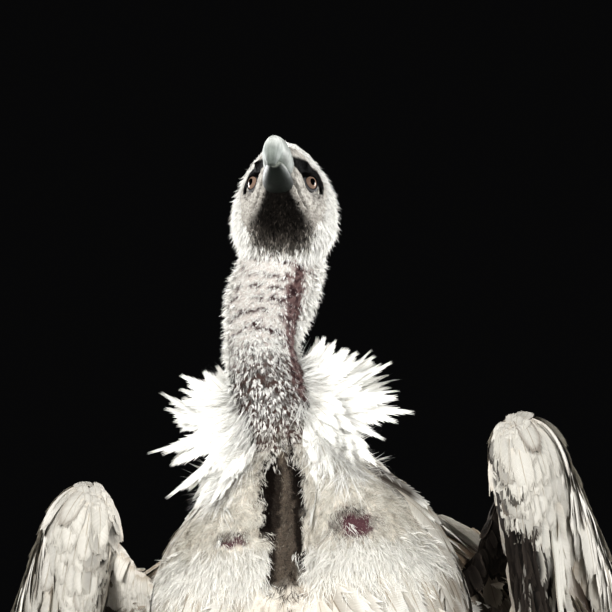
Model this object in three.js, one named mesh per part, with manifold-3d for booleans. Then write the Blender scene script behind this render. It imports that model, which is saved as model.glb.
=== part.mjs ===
// A griffon vulture, life size, standing with its neck raised, its ruff lifted and both wings half open.
// Units are millimetres. +Z is up, the bird faces -Y, and its own left side is +X.
// Every node is one closed solid. Nodes that touch keep a gap of GAP between their faces.
import * as THREE from "three";
import { mergeVertices } from "three/addons/utils/BufferGeometryUtils.js";
import Module from "manifold-3d";

const wasm = await Module();
wasm.setup();

// ---------------------------------------------------------------- driving dimensions

const GAP = 0.3; // left between the faces of neighbouring nodes
const BOX_MIDDLE = [-49.5, 102]; // x and y of the middle of the whole bird, which becomes the origin

// The trunk and neck are one spine from the root of the tail to the head: x, y, z, half width, and the depth
// of the section in front of the spine and behind it. Stations are evenly spaced in the spine's own measure.
const SPINE = [
  [0, 204, 214, 34, 20, 20],
  [0, 166, 246, 62, 44, 38],
  [0, 126, 286, 92, 70, 58],
  [0, 86, 336, 114, 92, 76],
  [0, 50, 390, 127, 104, 86],
  [0, 18, 442, 133, 108, 92],
  [0, -8, 492, 134, 106, 95],
  [-1, -27, 540, 129, 96, 92],
  [-3, -42, 582, 110, 78, 80],
  [-6, -54, 614, 78, 58, 62],
  [-10, -64, 641, 47, 41, 44],
  [-18, -74, 668, 37, 34, 36],
  [-25, -82, 698, 34, 32, 33],
  [-28, -84, 730, 33, 31, 33],
  [-24, -80, 764, 38, 32, 36],
  [-15, -81, 798, 37, 34, 34],
  [-11, -91, 827, 34, 30, 27],
  [-9, -102, 850, 24, 22, 20],
];
const SPINE_SIDES = 24;
// The stations where nodes part.
const AT = { tail: 0, neck: 10, neckMiddle: 11.9, neckUpper: 13.5, head: 15 };

// The crop: a sunk strip down the front of the breast with a low keel in it, between two downy lobes.
const CROP = { from: 6.6, to: 10.2, halfAngle: 14, depth: 19, keel: 9, lobeAngle: 36, lobe: 9 };

const HEAD_AT = [-6, -130, 849]; // the point midway between the eyes
const HEAD_YAW = 4.2; // degrees, towards the bird's left
const HEAD_ROLL = 2.1; // degrees, crown towards the bird's left
// The head from nape to bill: distance in front of the eyes, half width, top, bottom, and level of greatest
// width.
const HEAD = [
  [-68, 6, 10, -10, 0],
  [-62, 24, 23, -30, -4],
  [-47, 39, 35, -50, -14],
  [-28, 45, 41, -59, -20],
  [-10, 39.5, 43, -57, -19],
  [5, 29.5, 39.5, -48, -14],
  [18, 22.5, 31, -39, -9],
  [29, 17.5, 21, -32, -7],
  [40, 13.4, 13.5, -28, -6],
];
const BILL_BASE = 40; // where the horn starts, in front of the eyes
// The upper bill along its own curve: forward, up, half height, half width.
const UPPER_BILL = [
  [BILL_BASE, -1.5, 14.8, 13],
  [54, -1, 14.6, 12],
  [66, -2.8, 12.2, 10.4],
  [75, -8, 9.2, 9],
  [80, -15.5, 6.6, 7.4],
  [82, -23.5, 4.2, 5],
  [81.8, -31, 1.3, 1.6],
];
// The lower bill: forward, half width, top, bottom.
const LOWER_BILL = [
  [BILL_BASE, 12.2, -16.8, -28],
  [51, 11, -16.9, -28.6],
  [61, 8.8, -16.6, -27],
  [70, 5.4, -17, -24.4],
  [74, 2, -18.6, -22],
];
const NOSTRIL = { forward: 50, up: 2.5, height: 8.5, width: 2.6, depth: 5 };
const MOUTH = { end: 8, drop: 7, height: 1.3, depth: 4 }; // the line of the gape behind the bill
const EYE = { radius: 10, side: 18.5, forward: 4, up: 0, lid: 1.7, opening: 7.2 };
const GAZE = { forward: 0.85, down: 0.16 }; // where an eye looks, for each unit towards its own side

// A wing lies in an upright plane through the wrist. In it a point is given by how far back it is, how far
// down, and how far it stands out of the plane. The elbow and the last finger joint are such points.
const ELBOW = [236, 116];
const FINGER = [49, 183];
const CUP_BACK = 1.2e-4; // how fast the rear of the wing curves in towards the body
const CUP_DOWN = 5e-5; // and its tip
const WINGS = [
  { name: "wing_left", side: 1, wrist: [177, -36, 646], facing: 16 },
  { name: "wing_right", side: -1, wrist: [-190, -8, 616], facing: 29 },
];
const SHOULDER = [100, -4, 562];
const VANE = { flight: 0.9, covert: 0.8, ruff: 1 }; // thicknesses

const RUFF = { station: 10.2, open: 42, length: 80, width: 23, tiers: 2 };

const TAIL = { pairs: 5, length: 262, width: 46, spread: 13, slope: -37 };

const HIP = [60, 66, 352];
const HEEL = [74, 108, 124];
const ANKLE = [76, 66, 20];
const TOES = [
  { name: "inner", turn: -30, length: 56, radius: 8.6 },
  { name: "middle", turn: 0, length: 88, radius: 8.8 },
  { name: "outer", turn: 30, length: 66, radius: 8 },
  { name: "hind", turn: 180, length: 36, radius: 9 },
];
const TOE_RADII = [[1, 1], [0.92, 0.9], [1, 0.98], [0.8, 0.76], [0.62, 0.6]]; // shares of the toe's radius
const CLAW = { length: 27, radius: 4.6 };

// ---------------------------------------------------------------- small tools

const vec = (a) => new THREE.Vector3(...a);
const rad = THREE.MathUtils.degToRad;
const clamp = THREE.MathUtils.clamp;
const mix = THREE.MathUtils.lerp;
const bell = (x, width) => Math.exp(-((x / width) ** 2));

// The value at station x on a smooth curve through evenly spaced values.
function through(values, x) {
  const last = values.length - 1;
  const i = clamp(Math.floor(x), 0, last - 1);
  const f = x - i;
  const [a, b, c, d] = [-1, 0, 1, 2].map((k) => values[clamp(i + k, 0, last)]);
  return b + 0.5 * f * (c - a + f * (2 * a - 5 * b + 4 * c - d + f * (3 * (b - c) + d - a)));
}

const throughRows = (rows, x) => rows[0].map((_, k) => through(rows.map((row) => row[k]), x));

// A closed solid from rings of points, each ring joined to the next, with flat ends.
function loft(rings) {
  const points = rings.flat();
  const triangles = [];
  const sides = rings[0].length;
  for (let r = 0; r < rings.length - 1; r++) {
    for (let i = 0; i < sides; i++) {
      const j = (i + 1) % sides;
      const [a, b, c, d] = [r * sides + i, r * sides + j, (r + 1) * sides + j, (r + 1) * sides + i];
      triangles.push([a, b, c], [a, c, d]);
    }
  }
  const top = (rings.length - 1) * sides;
  for (let i = 1; i < sides - 1; i++) {
    triangles.push([0, i + 1, i], [top, top + i, top + i + 1]);
  }
  return solidOf(points, triangles);
}

// Makes a solid of points and triangles, turning the triangles outwards if they face in.
function solidOf(points, triangles) {
  let volume = 0;
  for (const [a, b, c] of triangles) {
    volume += points[a].dot(new THREE.Vector3().crossVectors(points[b], points[c]));
  }
  const faces = volume < 0 ? triangles.map(([a, b, c]) => [a, c, b]) : triangles;
  const geometry = new THREE.BufferGeometry().setFromPoints(points);
  geometry.setIndex(faces.flat());
  return closed(geometry);
}

// A three.js geometry as a solid that can be joined and cut.
function closed(geometry) {
  const bare = geometry.clone();
  bare.deleteAttribute("normal");
  bare.deleteAttribute("uv");
  const merged = mergeVertices(bare, 1e-3);
  const triVerts = new Uint32Array(merged.index.array);
  return new wasm.Manifold(
    new wasm.Mesh({ numProp: 3, vertProperties: merged.attributes.position.array, triVerts }),
  );
}

const join = (solids) => solids.reduce((whole, piece) => whole.add(piece));

// The largest closed surface of a solid: loose scraps are dropped and sealed hollows are filled.
function largest(solid) {
  return solid.decompose().reduce((a, b) => (b.volume() > a.volume() ? b : a));
}

function node(name, solid, material) {
  const { numProp, vertProperties, triVerts } = largest(solid).getMesh();
  const positions = new Float32Array((vertProperties.length / numProp) * 3);
  for (let i = 0; i < positions.length / 3; i++) {
    positions.set(vertProperties.subarray(i * numProp, i * numProp + 3), i * 3);
  }
  const geometry = new THREE.BufferGeometry();
  geometry.setAttribute("position", new THREE.BufferAttribute(positions, 3));
  geometry.setIndex(new THREE.BufferAttribute(new Uint32Array(triVerts), 1));
  geometry.computeVertexNormals();
  const mesh = new THREE.Mesh(geometry, material);
  mesh.name = name;
  return mesh;
}

function ellipsoid(at, sizes, turn = new THREE.Matrix4(), detail = 10) {
  const geometry = new THREE.SphereGeometry(1, detail, Math.round(detail * 0.7));
  geometry.scale(...sizes).applyMatrix4(turn).translate(...at.toArray());
  return closed(geometry);
}

// ---------------------------------------------------------------- trunk and neck

// The spine's section at a station: its middle, and the directions across, to the front and along.
function section(x) {
  const [px, py, pz, half, front, back] = throughRows(SPINE, x);
  const ahead = throughRows(SPINE, Math.min(x + 0.05, SPINE.length - 1));
  const behind = throughRows(SPINE, Math.max(x - 0.05, 0));
  const along = vec(ahead.slice(0, 3)).sub(vec(behind.slice(0, 3))).normalize();
  const across = new THREE.Vector3(1, 0, 0).addScaledVector(along, -along.x).normalize();
  const ventral = new THREE.Vector3().crossVectors(across, along);
  return { middle: new THREE.Vector3(px, py, pz), half, front, back, along, across, ventral };
}

// How far the surface stands out of the plain section, at an angle in degrees from the front.
function relief(x, angle) {
  const off = Math.abs(angle > 180 ? angle - 360 : angle);
  const along = clamp((x - CROP.from) / 0.9, 0, 1) * clamp((CROP.to - x) / 0.9, 0, 1);
  const hollow = -CROP.depth * bell(off, CROP.halfAngle) + CROP.keel * bell(off, CROP.halfAngle * 0.3);
  return along * (hollow + CROP.lobe * bell(off - CROP.lobeAngle, 20));
}

// A point on the surface at a station and an angle from the front, towards the bird's left, standing out.
function surface(x, angle, out = 0) {
  const s = section(x);
  const [sin, cos] = [Math.sin(rad(angle)), Math.cos(rad(angle))];
  const depth = cos > 0 ? s.front : s.back;
  const grown = out + relief(x, angle);
  return s.middle
    .clone()
    .addScaledVector(s.across, (s.half + grown) * sin)
    .addScaledVector(s.ventral, (depth + grown) * cos);
}

// Stations evenly spaced from one to another.
const stations = (from, to, count) => Array.from({ length: count + 1 }, (_, i) => mix(from, to, i / count));

const TRUNK = stations(AT.tail, AT.neck, 18);
const NECK_LOW = stations(AT.neck, AT.neckMiddle, 4);

// The stretch of trunk or neck through some stations. Its ends are set in by half a gap unless it is grown.
function stretch(at, out = 0) {
  const made = at.map((x, r) => {
    const inset = out ? 0 : (r === 0 ? GAP / 2 : 0) - (r === at.length - 1 ? GAP / 2 : 0);
    const ring = [];
    for (let i = 0; i < SPINE_SIDES; i++) {
      const turn = (360 * i) / SPINE_SIDES;
      const angle = turn - 22 * Math.sin(rad(turn)); // finer in front, round the crop
      ring.push(surface(x, angle, out).addScaledVector(section(x).along, inset));
    }
    return ring;
  });
  return loft(made);
}

// All that lies behind a station, in the spine's own measure.
function behind(x) {
  const s = section(x);
  const frame = new THREE.Matrix4().makeBasis(s.across, s.along, s.ventral);
  frame.setPosition(s.middle.clone().addScaledVector(s.along, GAP / 2 - 150));
  return closed(new THREE.BoxGeometry(400, 300, 400).applyMatrix4(frame));
}

const SPINE_GROWN = stretch([...TRUNK, ...NECK_LOW.slice(1)], 2 * GAP);

// ---------------------------------------------------------------- head, bill and eyes

const headTurn = new THREE.Matrix4()
  .makeRotationZ(rad(HEAD_YAW))
  .multiply(new THREE.Matrix4().makeRotationY(rad(HEAD_ROLL)));
// A point on the head, given in front of the eyes, towards its left, and up.
const onHead = (forward, left, up) =>
  new THREE.Vector3(left, -forward, up).applyMatrix4(headTurn).add(vec(HEAD_AT));

function headShell() {
  const rings = 10;
  const sides = 18;
  const made = [];
  for (let r = 0; r <= rings; r++) {
    const [forward, half, top, bottom, mid] = throughRows(HEAD, (r / rings) * (HEAD.length - 1));
    const ring = [];
    for (let i = 0; i < sides; i++) {
      const turn = (2 * Math.PI * i) / sides;
      const [cos, sin] = [Math.cos(turn), Math.sin(turn)].map((c) => Math.sign(c) * Math.abs(c) ** 0.88);
      const up = mid + (cos > 0 ? top - mid : mid - bottom) * cos;
      ring.push(onHead(forward - (r === rings ? GAP / 2 : 0), half * sin, up));
    }
    made.push(ring);
  }
  return loft(made);
}

// Which way an eye looks, on the side given.
const gaze = (side) =>
  new THREE.Vector3(side, -GAZE.forward, -GAZE.down).normalize().applyMatrix4(headTurn);
const eyeMiddle = (side) => onHead(EYE.forward, side * EYE.side, EYE.up);

function eyeBall(side, grown) {
  const turn = new THREE.Matrix4().makeRotationFromQuaternion(
    new THREE.Quaternion().setFromUnitVectors(new THREE.Vector3(0, 1, 0), gaze(side)),
  );
  const size = EYE.radius + grown;
  return ellipsoid(eyeMiddle(side), [size, size, size], turn, 12);
}

// A rounded rim about the opening of the eye, thicker above.
function lids(side) {
  const look = gaze(side);
  const up = new THREE.Vector3(0, 0, 1).applyMatrix4(headTurn);
  const sideways = new THREE.Vector3().crossVectors(up, look).normalize();
  const upright = new THREE.Vector3().crossVectors(look, sideways).normalize();
  const steps = 12;
  const sides = 5;
  const points = [];
  const triangles = [];
  for (let i = 0; i < steps; i++) {
    const a = (2 * Math.PI * i) / steps;
    const radial = sideways.clone().multiplyScalar(Math.cos(a)).addScaledVector(upright, Math.sin(a));
    const open = EYE.opening * (Math.sin(a) > 0 ? 1 - 0.22 * Math.sin(a) : 1);
    const middle = eyeMiddle(side)
      .addScaledVector(look, Math.sqrt(EYE.radius ** 2 - open ** 2) + 0.4)
      .addScaledVector(radial, open + EYE.lid * 0.6);
    const thick = EYE.lid * (1 + 0.35 * Math.max(0, Math.sin(a)));
    for (let j = 0; j < sides; j++) {
      const b = (2 * Math.PI * j) / sides;
      const point = middle.clone().addScaledVector(look, thick * Math.cos(b));
      points.push(point.addScaledVector(radial, thick * 1.5 * Math.sin(b)));
      const [k, l] = [(i + 1) % steps, (j + 1) % sides];
      triangles.push(
        [i * sides + j, k * sides + j, k * sides + l],
        [i * sides + j, k * sides + l, i * sides + l],
      );
    }
  }
  return solidOf(points, triangles);
}

// The hollow of the face about an eye, under the brow.
function orbit(side) {
  return ellipsoid(onHead(13, side * 30, 0), [10, 15, 12], headTurn, 10);
}

function brow(side) {
  return ellipsoid(onHead(7, side * 21, 12.5), [5, 15, 4.5], headTurn, 8);
}

// The gape, a narrow groove from the corner of the bill back under the eye.
function mouthLine(side) {
  const made = [];
  for (let r = 0; r <= 4; r++) {
    const t = r / 4;
    const forward = mix(BILL_BASE + 2, MOUTH.end, t);
    const [, half] = headAt(forward);
    const up = -16.8 - MOUTH.drop * t ** 1.4;
    const [inner, outer] = [half * 0.93 - MOUTH.depth, half + 6];
    made.push([
      onHead(forward, side * inner, up + MOUTH.height / 2),
      onHead(forward, side * outer, up + MOUTH.height / 2 + 0.8),
      onHead(forward, side * outer, up - MOUTH.height / 2 - 0.8),
      onHead(forward, side * inner, up - MOUTH.height / 2),
    ]);
  }
  return loft(made);
}

// The head's figures at a distance in front of the eyes.
function headAt(forward) {
  let x = 0;
  while (x < HEAD.length - 1 && through(HEAD.map((row) => row[0]), x) < forward) x += 0.05;
  return throughRows(HEAD, x);
}

function head() {
  const stub = stretch(stations(AT.head, SPINE.length - 1, 3));
  let made = headShell().subtract(behind(AT.head)).add(stub);
  for (const side of [1, -1]) {
    made = made.subtract(orbit(side)).add(brow(side)).add(lids(side)).subtract(mouthLine(side));
    made = made.subtract(eyeBall(side, GAP));
  }
  return made;
}

function upperBill(grown = 0) {
  const rings = 10;
  const sides = 12;
  const made = [];
  for (let r = 0; r <= rings; r++) {
    const x = (r / rings) * (UPPER_BILL.length - 1);
    const [forward, up, high, wide] = throughRows(UPPER_BILL, x);
    const ahead = throughRows(UPPER_BILL, Math.min(x + 0.1, UPPER_BILL.length - 1));
    const behind = throughRows(UPPER_BILL, Math.max(x - 0.1, 0));
    const slope = r === 0 ? 0 : Math.atan2(ahead[1] - behind[1], ahead[0] - behind[0]);
    const ring = [];
    for (let i = 0; i < sides; i++) {
      const turn = (2 * Math.PI * i) / sides;
      const [cos, sin] = [Math.cos(turn), Math.sin(turn)];
      const narrow = cos > 0 ? 1 - 0.18 * cos : 1; // the culmen is narrower than the cutting edges
      const rise = (high + grown) * cos;
      ring.push(
        onHead(
          forward - Math.sin(slope) * rise + (r === 0 ? GAP / 2 : 0),
          (wide + grown) * sin * narrow,
          up + Math.cos(slope) * rise,
        ),
      );
    }
    made.push(ring);
  }
  return loft(made);
}

function nostril(side) {
  return ellipsoid(
    onHead(NOSTRIL.forward, side * 13, NOSTRIL.up),
    [NOSTRIL.depth, NOSTRIL.width / 2, NOSTRIL.height / 2],
    headTurn,
    8,
  );
}

function lowerBill() {
  const rings = 8;
  const sides = 14;
  const made = [];
  for (let r = 0; r <= rings; r++) {
    const [forward, half, top, bottom] = throughRows(LOWER_BILL, (r / rings) * (LOWER_BILL.length - 1));
    const ring = [];
    for (let i = 0; i < sides; i++) {
      const turn = (2 * Math.PI * i) / sides;
      const cos = Math.cos(turn);
      const up = cos > 0 ? top - 1.5 + 1.5 * cos : top - 1.5 + (top - 1.5 - bottom) * cos;
      ring.push(onHead(forward + (r === 0 ? GAP / 2 : 0), half * Math.sin(turn), up));
    }
    made.push(ring);
  }
  return loft(made).subtract(upperBill(GAP));
}

// ---------------------------------------------------------------- feathers

// A vane is given by map(along, across, up), which places it, by its length, and by its width on each side of
// the shaft. Outlines say how wide it is, as shares, at shares of its length.
const FLIGHT_OUTLINE = [[0, 0.4], [0.4, 1], [0.88, 0.8], [1, 0.2]];
const FINGER_OUTLINE = [[0, 0.4], [0.3, 1], [0.6, 0.86], [0.9, 0.5], [1, 0.14]];
const COVERT_OUTLINE = [[0, 0.6], [0.45, 1], [0.82, 0.8], [1, 0.16]];
const LANCE_OUTLINE = [[0, 0.3], [0.4, 1], [0.74, 0.72], [1, 0.1]];

function vane({ map, length, left, right, outline, thick }) {
  const rings = outline.map(([share, wide]) => {
    const at = (across, up) => map(share * length, across, up);
    const [l, r, h] = [-left * wide, right * wide, thick / 2];
    return [at(l, -h), at(r, -h), at(r, h), at(l, h)];
  });
  return loft(rings);
}

// ---------------------------------------------------------------- wings

// Places a point of the wing's plane: back from the wrist, down from it, and out.
function wingPlace({ side, wrist, facing }) {
  const back = new THREE.Vector3(side * Math.sin(rad(facing)), Math.cos(rad(facing)), 0);
  const out = new THREE.Vector3(side * Math.cos(rad(facing)), -Math.sin(rad(facing)), 0);
  return (p, q, n) =>
    vec(wrist)
      .addScaledVector(back, p)
      .addScaledVector(out, n - CUP_BACK * p * Math.abs(p) - CUP_DOWN * q * Math.abs(q))
      .add(new THREE.Vector3(0, 0, -q));
}

// A limb in the wing's plane, on an oval section: rows of back, down, half chord, half thickness and height.
function limb(place, rows, rings, sides = 10) {
  const last = rows.length - 1;
  const made = [];
  for (let r = 0; r <= rings; r++) {
    const x = (r / rings) * last;
    const [p, q, chord, thick, height] = throughRows(rows, x);
    const ahead = throughRows(rows, Math.min(x + 0.1, last));
    const behind = throughRows(rows, Math.max(x - 0.1, 0));
    const run = new THREE.Vector2(ahead[0] - behind[0], ahead[1] - behind[1]).normalize();
    const ring = [];
    for (let i = 0; i < sides; i++) {
      const a = (2 * Math.PI * i) / sides;
      const [c, h] = [chord * Math.cos(a), height + thick * Math.sin(a)];
      ring.push(place(p - run.y * c, q + run.x * c, h));
    }
    made.push(ring);
  }
  return loft(made);
}

// A row of feathers in the wing's plane. Each has a root, a direction in degrees from straight down towards
// the back, and a length. They lie like shingles: heights gives the first feather's height out of the plane
// and the last one's, and fall gives the height that a feather has over that at its root and at its tip.
function wingRow(place, list, heights, fall, options) {
  return list.map(({ root, angle, length, left, right, ...rest }, i) => {
    const run = new THREE.Vector2(Math.sin(rad(angle)), Math.cos(rad(angle)));
    const side = new THREE.Vector2(run.y, -run.x); // towards the back of the wing
    const height = mix(heights[0], heights[1], i / (list.length - 1));
    return {
      map: (along, across, up) =>
        place(
          root[0] + run.x * along + side.x * across,
          root[1] + run.y * along + side.y * across,
          up + height + mix(fall[0], fall[1], Math.sqrt(Math.max(0, along / length))),
        ),
      length,
      left,
      right,
      ...options,
      ...rest,
    };
  });
}

// Values for n feathers from one end of a row to the other.
const row = (n, make) => Array.from({ length: n }, (_, i) => make(n > 1 ? i / (n - 1) : 0, i));

const FINGERED = 6; // the outer primaries narrow into fingers

function primaries() {
  return row(10, (t, i) => ({
    root: [mix(FINGER[0] * 0.98, 8, t), mix(FINGER[1], 24, t)],
    angle: mix(19, 35, t),
    length: through([372, 446, 464, 448, 414, 380, 346, 328, 321, 318], i),
    left: i < FINGERED ? 15 : 18,
    right: i < FINGERED ? 30 : 28,
    outline: i < FINGERED ? FINGER_OUTLINE : FLIGHT_OUTLINE,
  }));
}

function secondaries() {
  return row(8, (t) => ({
    root: [mix(16, ELBOW[0], t), mix(12, ELBOW[1], t)],
    angle: mix(36, 49, t),
    length: mix(318, 272, t),
    left: 22,
    right: 30,
  }));
}

// The covert rows follow the bones from the elbow to the wrist, set back from them by their own depth.
function coverts(count, { from, to, set, length, width }) {
  return row(count, (t) => ({
    root: [mix(from, to, t) * ELBOW[0] + set * 0.44, mix(from, to, t) * ELBOW[1] - set * 0.9],
    angle: mix(30, 50, t),
    length: mix(length[0], length[1], t),
    left: width / 2,
    right: width / 2,
  }));
}

function primaryCoverts() {
  return row(4, (t) => ({
    root: [mix(FINGER[0] * 0.9, 6, t), mix(FINGER[1] * 0.9, 20, t)],
    angle: mix(18, 32, t),
    length: mix(105, 130, t),
    left: 13,
    right: 20,
  }));
}

function alula() {
  return row(2, (t) => ({
    root: [mix(10, 16, t), mix(34, 30, t)],
    angle: mix(11, 15, t),
    length: mix(108, 92, t),
    left: 8,
    right: 10,
  }));
}

// Heights of the flight feathers out of the wing's plane, at the last finger joint, the wrist and the elbow.
const FLIGHT_HEIGHT = [-9, 2, 12];

function wingRows(place) {
  const [tip, wrist, elbow] = FLIGHT_HEIGHT;
  const flight = { thick: VANE.flight, outline: FLIGHT_OUTLINE };
  const covert = { thick: VANE.covert, outline: COVERT_OUTLINE };
  const greater = coverts(6, { from: 0.1, to: 1, set: -6, length: [134, 124], width: 54 });
  const median = coverts(6, { from: 0.06, to: 1, set: 4, length: [94, 86], width: 50 });
  const lesser = coverts(5, { from: 0.02, to: 0.97, set: 16, length: [66, 60], width: 50 });
  return [
    wingRow(place, [...primaries(), ...secondaries()], [tip, elbow], [0, 0], flight),
    wingRow(place, primaryCoverts(), [tip, wrist], [10, 7], covert),
    wingRow(place, alula(), [wrist - 1, wrist + 1], [14, 13], covert),
    wingRow(place, greater, [wrist, elbow], [9, 7], covert),
    wingRow(place, median, [wrist, elbow], [16, 12.5], covert),
    wingRow(place, lesser, [wrist, elbow], [21, 18], covert),
  ];
}

// The skin of the arm that runs in front of the elbow, from the wrist to the shoulder.
function patagium(wing, place) {
  const shoulder = vec([wing.side * SHOULDER[0], SHOULDER[1], SHOULDER[2]]);
  const made = [];
  const steps = 6;
  for (let r = 0; r <= steps; r++) {
    const t = r / steps;
    const free = place(-4, 10, -12)
      .lerp(shoulder.clone().add(new THREE.Vector3(wing.side * 6, -20, -34)), t)
      .add(new THREE.Vector3(0, 26, -16).multiplyScalar(Math.sin(Math.PI * t)));
    const share = mix(0.12, 0.9, Math.sin((Math.PI / 2) * t));
    const bone = place(ELBOW[0] * share, ELBOW[1] * share, -6);
    const held = bone.lerp(shoulder.clone().add(new THREE.Vector3(0, 30, 6)), t ** 3);
    const run = held.clone().sub(free);
    const half = run.length() / 2;
    run.normalize();
    const lift = new THREE.Vector3(-wing.side * 0.75, 0.2, -0.6).cross(run).negate().normalize();
    const middle = free.clone().lerp(held, 0.5);
    const ring = [];
    for (let i = 0; i < 6; i++) {
      const a = (2 * Math.PI * i) / 6;
      const point = middle.clone().addScaledVector(run, half * Math.cos(a));
      ring.push(point.addScaledVector(lift, 6 * Math.sin(a)));
    }
    made.push(ring);
  }
  return loft(made);
}

// The upper arm in its feathers, from inside the trunk to the elbow.
function upperArm(wing, place) {
  const from = vec([wing.side * SHOULDER[0] * 0.7, SHOULDER[1], SHOULDER[2] - 6]);
  const to = place(ELBOW[0], ELBOW[1], 14);
  const run = to.clone().sub(from).normalize();
  const flat = new THREE.Vector3().crossVectors(run, new THREE.Vector3(0, 0, 1)).normalize();
  const high = new THREE.Vector3().crossVectors(flat, run).normalize();
  const rows = [[46, 34], [48, 36], [44, 32], [38, 27], [32, 23], [22, 16]];
  const rings = 6;
  const made = [];
  for (let r = 0; r <= rings; r++) {
    const [tall, wide] = throughRows(rows, (r / rings) * (rows.length - 1));
    const middle = from.clone().lerp(to, r / rings);
    const ring = [];
    for (let i = 0; i < 12; i++) {
      const a = (2 * Math.PI * i) / 12;
      const point = middle.clone().addScaledVector(flat, wide * Math.cos(a));
      ring.push(point.addScaledVector(high, tall * Math.sin(a)));
    }
    made.push(ring);
  }
  return { solid: loft(made), from, to, run, high };
}

// Scapulars and tertials: long feathers from the upper arm, turning from the line of the back to that of the
// secondaries.
function scapulars(wing, place, arm) {
  const wingOut = place(0, 0, 1).sub(place(0, 0, 0));
  const wingRun = place(Math.sin(rad(52)), Math.cos(rad(52)), 0).sub(place(0, 0, 0));
  return row(5, (t) => {
    const root = arm.from.clone().lerp(arm.to, mix(0.34, 0.97, t)).addScaledVector(arm.high, mix(20, 4, t));
    const along = new THREE.Vector3(wing.side * 0.14, 0.7, -0.66).lerp(wingRun, t).normalize();
    const rough = new THREE.Vector3(wing.side * 0.45, 0.62, 0.64).lerp(wingOut, t).normalize();
    const across = new THREE.Vector3().crossVectors(along, rough).normalize();
    const up = new THREE.Vector3().crossVectors(across, along).normalize();
    root.addScaledVector(up, mix(17, 15, t));
    return {
      map: (s, y, n) =>
        root
          .clone()
          .addScaledVector(along, s)
          .addScaledVector(across, y)
          .addScaledVector(up, n - 2.2e-4 * s * s),
      length: mix(150, 232, t),
      left: 22,
      right: 22,
      thick: VANE.covert,
      outline: COVERT_OUTLINE,
    };
  });
}

function wing(spec) {
  const place = wingPlace(spec);
  const forearm = limb(
    place,
    [
      [ELBOW[0] + 18, ELBOW[1] + 8, 14, 10, 11],
      [ELBOW[0], ELBOW[1], 32, 21, 11],
      [ELBOW[0] * 0.6, ELBOW[1] * 0.6, 36, 23, 8],
      [ELBOW[0] * 0.25, ELBOW[1] * 0.25, 38, 26, 4],
      [2, 4, 32, 27, 2],
      [-14, -7, 13, 12, 1],
    ],
    9,
  );
  const hand = limb(
    place,
    [
      [-4, -20, 9, 12, 1],
      [2, 6, 28, 27, 1],
      [18, 66, 28, 21, -2],
      [36, 128, 21, 13, -6],
      [FINGER[0], FINGER[1], 12, 7, -9],
      [FINGER[0] + 5, FINGER[1] + 22, 5, 4, -9],
    ],
    7,
  );
  const arm = upperArm(spec, place);
  const flesh = [forearm, hand, patagium(spec, place), arm.solid];
  const rows = [...wingRows(place), scapulars(spec, place, arm)];
  return join([...flesh, ...rows.flat().map(vane)]).subtract(SPINE_GROWN);
}

// ---------------------------------------------------------------- ruff

// How steeply the ruff feathers rise, in degrees, by their angle round the neck from the front.
const ruffRise = (angle) => through([-80, -56, -20, 16, 36, 46, 52, 55, 57], (angle - RUFF.open) / 17);
// The station that the ruff grows at: low on the breast and higher up the back of the neck.
const ruffStation = (angle) => mix(9.9, 11, clamp((angle - RUFF.open) / 48, 0, 1));

function ruffWay(angle, side, lift) {
  const s = section(RUFF.station);
  const [sin, cos] = [Math.sin(rad(angle)), Math.cos(rad(angle))];
  const outward = s.across.clone().multiplyScalar(side * sin).addScaledVector(s.ventral, cos);
  outward.setZ(0).normalize();
  const rise = rad(ruffRise(angle) + lift);
  return outward.multiplyScalar(Math.cos(rise)).add(new THREE.Vector3(0, 0, Math.sin(rise)));
}

function ruffFeathers(from, to, side, count) {
  const feathers = [];
  for (let tier = 0; tier < RUFF.tiers; tier++) {
    for (let i = 0; i < count; i++) {
      const angle = mix(from, to, (i + 0.5 + 0.5 * (tier % 2)) / (count + 0.5));
      const round = angle > 180 ? 360 - angle : angle;
      const root = surface(ruffStation(round) + 0.2 * tier, side * angle, 2);
      const way = (a) => ruffWay(a > 180 ? 360 - a : a, side * (a > 180 ? -1 : 1), 7 * tier);
      const along = way(angle);
      const across = way(angle + 2).sub(way(angle - 2));
      across.addScaledVector(along, -across.dot(along)).normalize();
      const up = new THREE.Vector3().crossVectors(across, along).multiplyScalar(side);
      const length = RUFF.length * (1 - 0.13 * tier) * (1 + 0.08 * Math.sin(7.3 * i + 2.1 * tier));
      feathers.push({
        map: (s, y, n) =>
          root
            .clone()
            .addScaledVector(along, s)
            .addScaledVector(across, y)
            .addScaledVector(up, n - 5e-4 * s * s),
        length,
        left: RUFF.width / 2,
        right: RUFF.width / 2,
        thick: VANE.ruff,
        outline: LANCE_OUTLINE,
      });
    }
  }
  return feathers;
}

// The raised roll of down that the ruff feathers grow from.
function ruffRoll(from, to, side) {
  const made = [];
  const steps = 7;
  for (let r = 0; r <= steps; r++) {
    const angle = side * mix(from, to, r / steps);
    const x = ruffStation(Math.min(Math.abs(angle), 360 - Math.abs(angle))) + 0.12;
    const middle = surface(x, angle, 3);
    const outward = surface(x, angle, 4).sub(middle).normalize();
    const up = section(x).along;
    const ring = [];
    for (let i = 0; i < 10; i++) {
      const a = (2 * Math.PI * i) / 10;
      const point = middle.clone().addScaledVector(outward, 10 * Math.cos(a));
      ring.push(point.addScaledVector(up, 15 * Math.sin(a)));
    }
    made.push(ring);
  }
  return loft(made);
}

// All that lies round from a radial plane of the neck, towards greater angles (turn 1) or smaller (turn -1).
function roundFrom(angle, turn) {
  const s = section(RUFF.station);
  const [sin, cos] = [Math.sin(rad(angle)), Math.cos(rad(angle))];
  const away = s.across.clone().multiplyScalar(turn * cos).addScaledVector(s.ventral, -turn * sin);
  const out = new THREE.Vector3().crossVectors(s.along, away);
  const frame = new THREE.Matrix4().makeBasis(away, out, s.along);
  frame.setPosition(s.middle.clone().addScaledVector(away, 400 - GAP / 2));
  return closed(new THREE.BoxGeometry(800, 800, 800).applyMatrix4(frame));
}

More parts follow.
